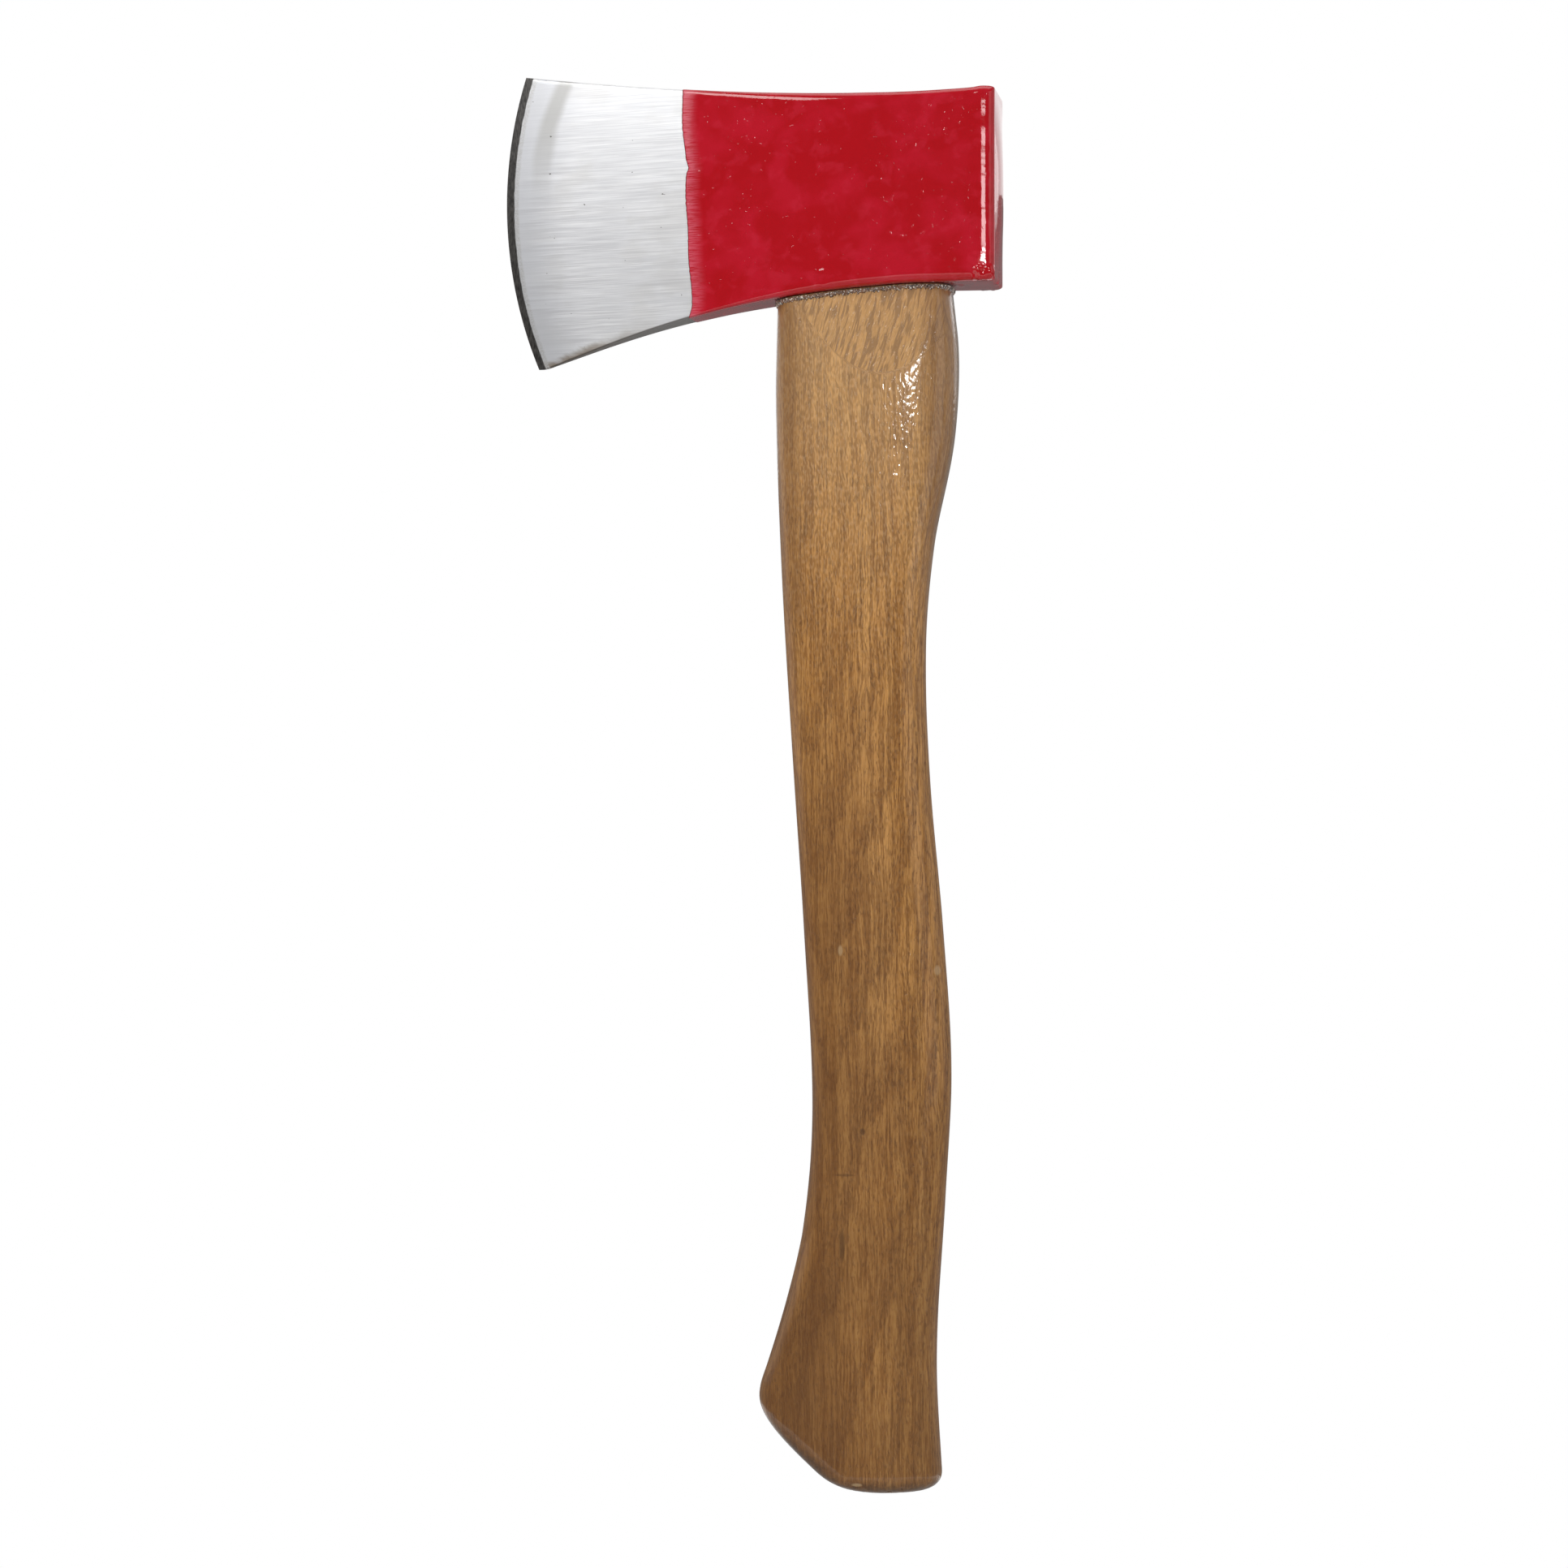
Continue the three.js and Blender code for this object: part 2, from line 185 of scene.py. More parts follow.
def cut(piece, cutter):
    """Takes cutter away from piece, then removes it."""
    boolean = piece.modifiers.new("cut", "BOOLEAN")
    boolean.operation = "DIFFERENCE"
    boolean.object = cutter
    boolean.solver = "EXACT"
    evaluated = piece.evaluated_get(bpy.context.evaluated_depsgraph_get())
    mesh = bpy.data.meshes.new_from_object(evaluated)
    piece.modifiers.clear()
    piece.data = mesh
    bpy.data.objects.remove(cutter)


# ---------------------------------------- head: measured outline

head_points = cad_points("axe_head")
head_low, head_high = head_points.min(0), head_points.max(0)
HEAD_LENGTH = head_high[X] - head_low[X]
CHEEK_HALF = head_high[Y]

blade_front = head_points[head_points[:, X] < head_low[X] + 0.12 * HEAD_LENGTH]
toe = blade_front[blade_front[:, Z].argmax()][[X, Z]]
heel = blade_front[blade_front[:, Z].argmin()][[X, Z]]
foremost = blade_front[blade_front[:, X].argmin()][[X, Z]]

CROWN = 1.0 * MM                    # dome of the hammer face
POLL_RADIUS = 2.0 * MM              # rounding round the hammer face
LONG_EDGE_RADIUS = 2.3 * MM         # rounding along the head's thick part
BLADE_EDGE_RADIUS = 0.6 * MM        # rounding along the blade's top and underside
POLL_CORNER = 0.4                   # of POLL_RADIUS: rounding of the poll's top and underside
HEEL_FLAT = 0.7 * MM                # how much of the heel's tip is cut off
BEVEL_SHARE = 0.016                 # of the way from the edge to the poll
BEVEL_HALF = 0.7 * MM
KEEN_HALF = 0.06 * MM
poll_x = head_high[X] - CROWN


TONGUE_HEIGHTS = (6 * MM, 26 * MM)  # where the handle is measured inside the eye


def handle_section(z):
    """Middle, half length and half width of the handle at this height."""
    points = slice_at("handle", Z, z)
    low, high = points.min(0), points.max(0)
    return np.array(((low[X] + high[X]) / 2, (high[X] - low[X]) / 2, high[Y]))


tongue_ends = [handle_section(z) for z in TONGUE_HEIGHTS]
eye_x = handle_section(20 * MM)[0]


def tongue_size(z):
    """The same measures anywhere inside the eye, where the handle tapers evenly."""
    low, high = TONGUE_HEIGHTS
    return lerp(*tongue_ends, (z - low) / (high - low))


def circle_through(a, b, c):
    """Centre of the circle through three points."""
    rows = np.array([b - a, c - b])
    middles = np.array([(a + b) / 2, (b + c) / 2])
    return np.linalg.solve(rows, (rows * middles).sum(1))


edge_centre = circle_through(heel, foremost, toe)
edge_radius = np.linalg.norm(toe - edge_centre)


def edge_point(w):
    """The cutting edge, from the heel at 0 to the toe at 1."""
    start = math.atan2(*(heel - edge_centre)[::-1]) % (2 * math.pi)
    end = math.atan2(*(toe - edge_centre)[::-1]) % (2 * math.pi)
    angle = lerp(start, end, np.asarray(w, float))
    return np.stack([np.cos(angle), np.sin(angle)], -1) * edge_radius + edge_centre


def outline_heights(first_x, pick):
    """Height of the head's top or underside, from first_x to the poll."""
    stations = np.linspace(first_x + 0.3 * MM, poll_x - POLL_RADIUS, 40)
    return smooth_line(stations, [pick(slice_at("axe_head", X, x)[:, Z]) for x in stations])


top_height = outline_heights(toe[0], np.max)
underside_line = outline_heights(heel[0], np.min)


def under_height(x):
    """Height of the head's underside, with the tip of the heel cut flat."""
    return smooth_max(underside_line(x), heel[1] + HEEL_FLAT, 0.5 * MM)


def side_point(u, w):
    """A point of the head's side view: u from the edge to the poll, w from the underside up."""
    u, w = np.broadcast_arrays(np.asarray(u, float), np.asarray(w, float))
    top_x, bottom_x = lerp(toe[0], poll_x, u), lerp(heel[0], poll_x, u)
    top = np.stack([top_x, top_height(top_x)], -1)
    bottom = np.stack([bottom_x, under_height(bottom_x)], -1)
    chord = lerp(heel, toe, w[..., None])
    bulge = edge_point(w) - chord
    return lerp(bottom, top, w[..., None]) + bulge * (1 - u[..., None])


def measured_half(u):
    x = float(side_point(u, 0.5)[0])
    return np.abs(slice_at("axe_head", X, x)[:, Y]).max()


cheek_shares = np.linspace(BEVEL_SHARE, 0.97, 34)
cheek_half = smooth_line(cheek_shares, [measured_half(u) for u in cheek_shares])


def half_thickness(u):
    bevel = lerp(KEEN_HALF, BEVEL_HALF, np.clip(u / BEVEL_SHARE, 0, 1))
    return np.where(u < BEVEL_SHARE, bevel, np.minimum(cheek_half(u), CHEEK_HALF))


# ---------------------------------------- head: surface

CORNER_STEPS = 7
FACE_STEPS = 12                     # across the top and the underside
CHEEK_STEPS = 78
PAINT_GATHERS = 0.12                # of a cheek's height, from its lower edge
EYE_POINTS = 120
EYE_CUT = (-20 * MM, 70 * MM)       # the cutter reaches past the head's underside and top
FORGING_GAP = 0.25 * MM             # round the handle, in the eye
ENAMEL_GAP = 0.35 * MM


def cheek_rises(fine):
    """Shares of a cheek's height, closer together near its lower edge where paint gathers."""
    low = np.linspace(0, PAINT_GATHERS, fine)[:-1]
    return np.concatenate([low, np.linspace(PAINT_GATHERS, 1, CHEEK_STEPS)])


def section(u, inset, rises):
    """One section of the head, up the left cheek and down the right one: (height, y) pairs."""
    top, bottom = side_point(u, 1)[1], side_point(u, 0)[1]
    height = top - bottom
    half = float(half_thickness(u)) - inset
    edge = lerp(BLADE_EDGE_RADIUS, LONG_EDGE_RADIUS, smoothstep(u, 0.3, 0.75))
    radius = max(min(edge - inset, half * 0.6), 0.02 * MM)
    inset -= (1 - POLL_CORNER) * min(inset, POLL_RADIUS)
    turn = np.linspace(0, math.pi / 2, CORNER_STEPS + 1)
    flat = np.linspace(0, 1, FACE_STEPS // 2 + 1)[:-1]
    across = np.concatenate([flat * (half - radius), half - radius * (1 - np.sin(turn))])
    up = np.concatenate([np.full(len(flat), inset), inset + radius * (1 - np.cos(turn))])
    cheek = lerp(inset + radius, height - inset - radius, rises[1:-1])
    heights = np.concatenate([up, cheek, (height - up)[::-1]])
    ys = np.concatenate([across, np.full(len(cheek), half), across[::-1]])
    return heights / height, ys


def head_ring(u, inset, crown, rises):
    """One section of the head. Crown is the height of the hammer face's dome over its edge."""
    shares, ys = section(u, inset, rises)
    side = side_point(u, shares)
    fall_y = (ys / (CHEEK_HALF - POLL_RADIUS)) ** 2
    fall_z = ((shares - 0.5) * 2 / (1 - 2 * POLL_RADIUS / side[:, 1].max())) ** 2
    dome = crown * np.clip(1 - fall_y, 0, 1) * np.clip(1 - fall_z, 0, 1)
    left = np.stack([side[:, 0] + dome, ys, side[:, 1]], -1)
    right = left[::-1] * (1, -1, 1)
    keep_right = slice(1, len(right) - 1)     # the middle points belong to both halves
    return np.concatenate([left, right[keep_right]])


poll_starts = 1 - POLL_RADIUS / (poll_x - heel[0])    # the u at which the poll's rounding begins


def poll_stations():
    """(u, inset, lift) over the rounding and the dome of the hammer face."""
    stations = []
    for turn in np.linspace(0, math.pi / 2, 9)[1:]:
        inset = POLL_RADIUS * (1 - math.cos(turn))
        stations.append((1 - (1 - poll_starts) * (1 - math.sin(turn)), inset, 0))
    for share in np.linspace(0, 1, 13)[1:]:
        stations.append((1, lerp(POLL_RADIUS, 0.92 * CHEEK_HALF, share), CROWN))
    return stations


def mirrored_cap(first, count, flip):
    """Quads and two end triangles across a ring that starts and turns back on the middle plane."""
    half = count // 2
    faces = [(first, first + 1, first + count - 1)]
    for i in range(1, half - 1):
        faces.append((first + i, first + i + 1, first + count - i - 1, first + count - i))
    faces.append((first + half - 1, first + half, first + half + 1))
    return [f[::-1] for f in faces] if flip else faces


def eye_cutter(margin):
    """The tapered oval hole through the head, this much wider all round than the tongue."""
    rings = []
    for z in EYE_CUT:
        middle, half_x, half_y = tongue_size(z)
        rings.append(oval_ring(middle, half_x + margin, half_y + margin, z, EYE_POINTS))
    faces = band_faces(2, EYE_POINTS)
    faces.append(tuple(range(EYE_POINTS))[::-1])
    faces.append(tuple(range(EYE_POINTS, 2 * EYE_POINTS)))
    return mesh_piece("eye_cutter", rings, faces, red_enamel)


def note_height(piece):
    """Keeps each point's height over the head's underside, in millimetres, for the materials."""
    points = np.array([v.co for v in piece.data.vertices])
    above = piece.data.attributes.new("above_underside", "FLOAT", "POINT")
    above.data.foreach_set("value", (points[:, Z] - under_height(points[:, X])) / MM)


def head_forging():
    rises = cheek_rises(10)
    shares = np.concatenate([
        np.linspace(0, BEVEL_SHARE, 9)[:-1],
        BEVEL_SHARE + (1 - BEVEL_SHARE) * np.linspace(0, 1, 150) ** 1.1,
    ])
    rings = [head_ring(u, 0, 0, rises) for u in shares if u < poll_starts]
    rings += [head_ring(u, inset, lift, rises) for u, inset, lift in poll_stations()]
    count = len(rings[0])
    faces = band_faces(len(rings), count)
    faces += mirrored_cap(0, count, True) + mirrored_cap((len(rings) - 1) * count, count, False)
    piece = mesh_piece("head_forging", rings, faces, ground_steel)
    cut(piece, eye_cutter(FORGING_GAP))
    note_height(piece)
    return piece


# ---------------------------------------- head: enamel

PAINT_SHARE = 0.372                 # of the head's length, from the edge: where the enamel starts
PAINT_LEAN = 0.045                  # the line leans back towards the heel side
PAINT_MIDDLE = 0.4                  # the u of a section near the paint's front edge
COAT = 0.14 * MM
UNDER_COAT = 0.01 * MM              # between the steel and the inside of the coat
POLL_ROWS = 16


def paint_front(points):
    """x of the enamel's front edge beside each point of a section."""
    z, near = points[:, Z], points[:, Y] < 0
    line = head_low[X] + PAINT_SHARE * HEAD_LENGTH - PAINT_LEAN * (z - head_high[Z] / 2)
    wave = np.where(near, ripple(z, 24 * MM, 3), ripple(z, 19 * MM, 8))
    fray = np.where(near, ripple(z, 1.6 * MM, 5), ripple(z, 1.4 * MM, 6))
    notch_z = 0.55 * head_high[Z]
    notch = np.exp(-((z - notch_z) / (1.2 * MM)) ** 2) * near
    hook = smoothstep(-z, 3 * MM, 9 * MM)
    return line + 0.35 * MM * wave + 0.06 * MM * fray + 0.6 * MM * notch - 1.6 * MM * hook


def share_at(x, w):
    """The u for which side_point(u, w) has this x."""
    low, high = np.zeros_like(x), np.ones_like(x)
    for _ in range(30):
        middle = (low + high) / 2
        short = side_point(middle, w)[:, 0] < x
        low, high = np.where(short, middle, low), np.where(short, high, middle)
    return (low + high) / 2


def blobs(points, drops):
    """Height of round drops of paint at each point. A drop is x, y, z, radius and height."""
    total = np.zeros(len(points))
    for *centre, radius, height in drops:
        distance = np.linalg.norm(points - centre, axis=1)
        total = np.maximum(total, height * np.clip(1 - (distance / radius) ** 2, 0, 1) ** 0.7)
    return total


def corner_drops():
    """Beads of paint down the poll's upright edges and the cluster at their lower ends."""
    draws = np.random.default_rng(11)
    drops = []

    def add(x, y, z, radii, heights):
        drops.append((x, y, z, draws.uniform(*radii) * MM, draws.uniform(*heights) * MM))

    for side in (-1, 1):
        y = side * (CHEEK_HALF - 0.4 * MM)
        for _ in range(22):
            z = draws.uniform(0.12, 0.66) * head_high[Z]
            x = poll_x - draws.uniform(0.8, 1.7) * MM
            add(x, y, z, (0.25, 0.6), (0.1, 0.25))
        for _ in range(30):
            x = poll_x - draws.uniform(0.4, 5.0) * MM
            z = draws.uniform(0.3, 3.6) * MM
            add(x, y - side * 0.2 * MM, z, (0.45, 1.2), (0.25, 0.6))
        for _ in range(10):
            x = poll_x - draws.uniform(6, 16) * MM
            z = head_high[Z] * draws.uniform(0.74, 0.86)
            add(x, side * CHEEK_HALF, z, (0.25, 0.5), (0.03, 0.08))
    for step in range(6):       # the run on the hammer face
        y, z = (0.6 + 0.25 * step) * MM, step * 0.8 * MM
        drops.append((poll_x + CROWN * 0.3, y, z, (1.5 - 0.15 * step) * MM, (0.35 - 0.04 * step) * MM))
    drops.append((poll_x - 9.3 * MM, -1 * MM, 0, 1.2 * MM, 0.45 * MM))     # below the poll
    return drops


def paint_relief(points):
    """Thickness of the enamel: an even coat, brush ridges, drops, a run and a ring mark."""
    x, _, z = points.T
    from_poll, from_below = poll_x - 3.4 * MM - x, z - under_height(x) - 3.2 * MM
    from_frame = -smooth_max(-from_poll, -from_below, 6 * MM)
    fat_edge = 0.19 * MM * np.exp(-(from_frame / (1.5 * MM)) ** 2) * smoothstep(x, eye_x, poll_x - 5 * MM)
    ridges = 0.012 * MM * ripple(z + 0.02 * x, 1.3 * MM, 21) * ripple(x, 30 * MM, 22)
    waves = 0.02 * MM * ripple(x + z, 17 * MM, 23) * ripple(z - 0.4 * x, 11 * MM, 24)
    ring_centre = np.array((eye_x - 9.5 * MM, -CHEEK_HALF, 1.0 * MM))
    ring_distance = np.linalg.norm(points - ring_centre, axis=1)
    ring = 0.14 * MM * np.exp(-((ring_distance - 2.2 * MM) / (0.35 * MM)) ** 2)
    return COAT + ridges + waves + fat_edge + ring + blobs(points, corner_drops())


def enamel_surface():
    """Rings of points on the steel, closest together at the front edge and near the poll."""
    rises = cheek_rises(34)
    first_ring = head_ring(PAINT_MIDDLE, 0, 0, rises)
    w = section(PAINT_MIDDLE, 0, rises)[0]
    w = np.concatenate([w, w[::-1][1:-1]])
    start = share_at(paint_front(first_ring), w)
    close = np.linspace(0, 1, 14)[:-1] ** 2 * 0.02
    middle = np.linspace(0.02, 0.9, 100)[:-1]
    fine = np.linspace(0.9, 1, 48)
    rings = []
    for share in np.concatenate([close, middle, fine]):
        rings.append(enamel_ring(lerp(start, poll_starts, share), rises))
    rings += [head_ring(u, inset, lift, rises) for u, inset, lift in poll_stations()]
    return np.array(rings)


def head_enamel():
    """A closed skin over the steel, from its frayed front edge to the hammer face."""
    surface = enamel_surface()
    rows, count = surface.shape[:2]
    normals = grid_normals(surface)
    distance = np.linalg.norm(surface - surface[:1], axis=2)
    distance[-POLL_ROWS:] = HEAD_LENGTH      # the middle of the poll is far from the front edge
    thickness = paint_relief(surface.reshape(-1, 3)).reshape(distance.shape)
    thickness *= 0.25 + 0.75 * smoothstep(distance, 0, 0.5 * MM)
    outer = surface + normals * thickness[..., None]
    inner = surface + normals * UNDER_COAT
    points = np.concatenate([outer.reshape(-1, 3), inner.reshape(-1, 3)])
    faces = band_faces(rows, count) + band_faces(rows, count, rows * count, True)
    for i in range(count):
        n = (i + 1) % count
        faces.append((i, rows * count + i, rows * count + n, n))
    faces += mirrored_cap((rows - 1) * count, count, False)
    faces += mirrored_cap((2 * rows - 1) * count, count, True)
    piece = mesh_piece("head_enamel", points, faces, red_enamel)
    behind = piece.data.attributes.new("behind_edge", "FLOAT", "POINT")
    behind.data.foreach_set("value", np.concatenate([distance.ravel()] * 2) / MM)
    cut(piece, eye_cutter(ENAMEL_GAP))
    note_height(piece)
    return piece


def enamel_ring(us, rises):
    """Like head_ring, with its own u at every point."""
    knots = np.linspace(us.min(), us.max(), 4)
    whole = np.array([head_ring(u, 0, 0, rises) for u in knots])
    if knots[-1] - knots[0] < 1e-9:
        return whole[0]
    place = (us - knots[0]) / (knots[-1] - knots[0]) * 3
    i = np.clip(place.astype(int), 0, 2)
    rows = np.arange(len(us))
    return lerp(whole[i, rows], whole[i + 1, rows], (place - i)[:, None])


def grid_normals(surface):
    """Unit normals of rings of points, facing out."""
    along = np.gradient(surface, axis=0)
    around = np.roll(surface, -1, axis=1) - np.roll(surface, 1, axis=1)
    normals = np.cross(around, along)
    return normals / np.maximum(np.linalg.norm(normals, axis=2, keepdims=True), 1e-12)


# ---------------------------------------- materials

class Nodes:
    """Short calls for building one material's nodes. Places are in millimetres."""

    def __init__(self, name):
        self.material = bpy.data.materials.new(name)
        self.material.use_nodes = True
        self.tree = self.material.node_tree
        self.tree.nodes.clear()
        place = self.node("TexCoord").outputs["Object"]
        self.place = self.vector("SCALE", place, scale=1 / MM)
        parts = self.node("SeparateXYZ", self.place)
        self.x, self.y, self.z = parts.outputs[:]

    def node(self, kind, *values, **settings):
        made = self.tree.nodes.new("ShaderNode" + kind)
        for key, value in settings.items():
            setattr(made, key, value)
        for socket, value in zip(made.inputs, values):
            self.put(socket, value)
        return made

    def put(self, socket, value):
        if isinstance(value, bpy.types.NodeSocket):
            self.tree.links.new(value, socket)
        elif value is not None:
            socket.default_value = value

    def math(self, operation, *values):
        return self.node("Math", *values, operation=operation).outputs[0]

    def plus(self, a, b):
        return self.math("ADD", a, b)

    def minus(self, a, b):
        return self.math("SUBTRACT", a, b)

    def times(self, a, b):
        return self.math("MULTIPLY", a, b)

    def over(self, a, b):
        return self.math("DIVIDE", a, b)

    def attribute(self, name):
        return self.node("Attribute", attribute_name=name).outputs["Fac"]

    def vector(self, operation, *values, scale=None):
        made = self.node("VectorMath", *values, operation=operation)
        if scale is not None:
            made.inputs["Scale"].default_value = scale
        return made.outputs["Value" if operation in ("LENGTH", "DISTANCE") else "Vector"]

    def sizes(self, x, y, z, turn=(0, 0, 0), vector=None):
        """The place, turned and divided by the size of a pattern along each axis."""
        turned = self.node("VectorRotate", vector or self.place, rotation_type="EULER_XYZ")
        turned.inputs["Rotation"].default_value = [math.radians(a) for a in turn]
        return self.vector("DIVIDE", turned.outputs[0], (x, y, z))

    def noise(self, vector, detail=2.0, roughness=0.5, distortion=0.0):
        made = self.node("TexNoise", vector)
        settings = {"Scale": 1.0, "Detail": detail, "Roughness": roughness, "Distortion": distortion}
        for key, value in settings.items():
            made.inputs[key].default_value = value
        return made.outputs[0]

    def fibres(self, vector, width, length, detail, roughness):
        """Upright fibres of this width and length, on faces that look along X or along Y."""
        facing_y = self.sizes(width, 12 * width, length, (0, 0.8, 0), vector)
        facing_x = self.sizes(12 * width, width, length, (0.8, 0, 0), vector)
        along_y = self.noise(facing_y, detail, roughness)
        along_x = self.noise(facing_x, detail, roughness)
        facing = self.node("NewGeometry").outputs["Normal"]
        facing = self.node("SeparateXYZ", facing).outputs[1]
        share = self.ramp(self.math("ABSOLUTE", facing), 0.5, 0.8)
        made = self.node("Mix", data_type="FLOAT")
        for index, value in ((0, share), (2, along_x), (3, along_y)):
            self.put(made.inputs[index], value)
        return made.outputs[0]

    def ramp(self, value, low, high, to_low=0.0, to_high=1.0):
        """value from low to high becomes to_low to to_high, smoothly and clamped."""
        made = self.node("MapRange", value, low, high, to_low, to_high)
        made.interpolation_type = "SMOOTHSTEP"
        return made.outputs[0]

    def mix(self, share, a, b, blend="MIX"):
        made = self.node("Mix", data_type="RGBA", blend_type=blend)
        self.put(made.inputs[0], share)
        self.put(made.inputs[6], a)
        self.put(made.inputs[7], b)
        return made.outputs[2]

    def bump(self, height, distance, strength=1.0, normal=None):
        """height times distance, in millimetres, as a bump."""
        made = self.node("Bump")
        self.put(made.inputs["Height"], height)
        made.inputs["Distance"].default_value = distance * MM
        made.inputs["Strength"].default_value = strength
        if normal is not None:
            self.put(made.inputs["Normal"], normal)
        return made.outputs[0]

    def finish(self, **sockets):
        """Puts the values on a principled shader. Names use _ for a space."""
        shader = self.node("BsdfPrincipled")
        for key, value in sockets.items():
            self.put(shader.inputs[key.replace("_", " ")], value)
        self.node("OutputMaterial", shader.outputs[0])
        return self.material


def srgb(red, green, blue):
    """A colour given as 0 to 255 on screen, for a shader."""
    def linear(value):
        value /= 255
        return value / 12.92 if value <= 0.04045 else ((value + 0.055) / 1.055) ** 2.4
    return (linear(red), linear(green), linear(blue), 1)


def mm(length):
    return length / MM


def make_steel():
    """Bare steel: a dark honed bevel, a ground blade with brush lines, smudges, stain and pits."""
    n = Nodes("ground_steel")
    side_view = n.node("CombineXYZ", n.x, 0.0, n.z).outputs[0]
    centre = (mm(edge_centre[0]), 0.0, mm(edge_centre[1]))
    inward = n.minus(mm(edge_radius), n.vector("DISTANCE", side_view, centre))
    brush_turn = (0, 1.5, 0)
    fine = n.noise(n.sizes(15, 4, 0.27, brush_turn), 3, 0.6)
    coarse = n.noise(n.sizes(40, 8, 1.4, brush_turn), 3, 0.65)
    long_lines = n.noise(n.sizes(34, 9, 0.34, brush_turn), 2, 0.6)
    clouds = n.noise(n.sizes(15, 12, 11, (0, 20, 0)), 3, 0.5)
    speckle = n.noise(n.sizes(0.35, 0.35, 0.35), 2, 0.5)
    shine = n.mix(n.ramp(fine, 0.3, 0.7), srgb(210, 210, 212), srgb(236, 236, 237))
    shine = n.mix(n.ramp(coarse, 0.35, 0.62, 0, 0.3), shine, srgb(216, 217, 220))
    shine = n.mix(n.ramp(long_lines, 0.56, 0.7, 0, 0.2), shine, srgb(190, 190, 194))
    shine = n.mix(n.ramp(clouds, 0.48, 0.62, 0, 0.28), shine, srgb(206, 204, 200))
    # a bluish hazy band just behind the bevel, and a grey arc up to the top edge
    haze = n.ramp(inward, 19.0, 3.0, 0, 0.75)
    shine = n.mix(haze, shine, srgb(184, 185, 189))
    top = mm(head_high[Z])
    rise = n.math("MAXIMUM", n.minus(n.z, top - 25.0), 0.0)
    arc_x = n.plus(mm(head_low[X]) + 9.5, n.times(n.math("POWER", rise, 2.0), 0.012))
    arc = n.math("ABSOLUTE", n.minus(n.x, arc_x))
    arc = n.ramp(n.plus(arc, n.times(clouds, 2.5)), 4.8, 2.2)
    arc = n.times(arc, n.ramp(n.z, top - 38.0, top - 8.0))
    shine = n.mix(n.times(arc, 0.75), shine, srgb(168, 167, 164))
    # brown stain along the lower edge near the heel, and painted shade darkening the downward-facing
    # underside
    past_heel = n.minus(n.x, mm(heel[0]))
    above = n.attribute("above_underside")
    blotch = n.noise(n.sizes(6, 4, 2.5, (0, -20, 0)), 4, 0.6)
    stain = n.ramp(n.plus(above, n.times(blotch, 4.0)), 4.6, 1.9)
    stain = n.times(stain, n.ramp(past_heel, 36.0, 8.0, 0, 0.8))
    shine = n.mix(stain, shine, srgb(104, 84, 54))
    underside = n.ramp(above, 0.55, 0.15, 0, 0.85)
    shine = n.mix(underside, shine, srgb(74, 68, 62))
    pits = n.ramp(n.noise(n.sizes(1.3, 1.3, 1.3), 1.5, 0.4), 0.775, 0.8)
    shine = n.mix(n.times(pits, 0.85), shine, srgb(66, 60, 54))
    # the honed bevel, with a pale speckled strip behind it
    wobble = n.times(n.noise(n.sizes(2.5, 2.5, 2.5), 2), 0.35)
    across = n.plus(inward, wobble)
    strip = n.times(n.ramp(across, 3.7, 3.1), n.ramp(speckle, 0.42, 0.6, 0.35, 0.95))
    shine = n.mix(strip, shine, srgb(176, 175, 174))
    bevel = n.ramp(across, 2.35, 2.15)
    dark = n.mix(n.ramp(n.noise(n.sizes(0.3, 0.3, 1.6, (0, 0, 0)), 3, 0.6), 0.3, 0.7),
                 srgb(38, 36, 35), srgb(80, 77, 74))
    shine = n.mix(bevel, shine, dark)
    rough = n.plus(n.ramp(fine, 0.3, 0.7, 0.3, 0.4), n.times(stain, 0.2))
    normal = n.bump(fine, 0.02, 0.25)
    normal = n.bump(n.minus(coarse, pits), 0.03, 0.25, normal)
    return n.finish(Base_Color=shine, Metallic=0.4, Roughness=rough, Normal=normal)


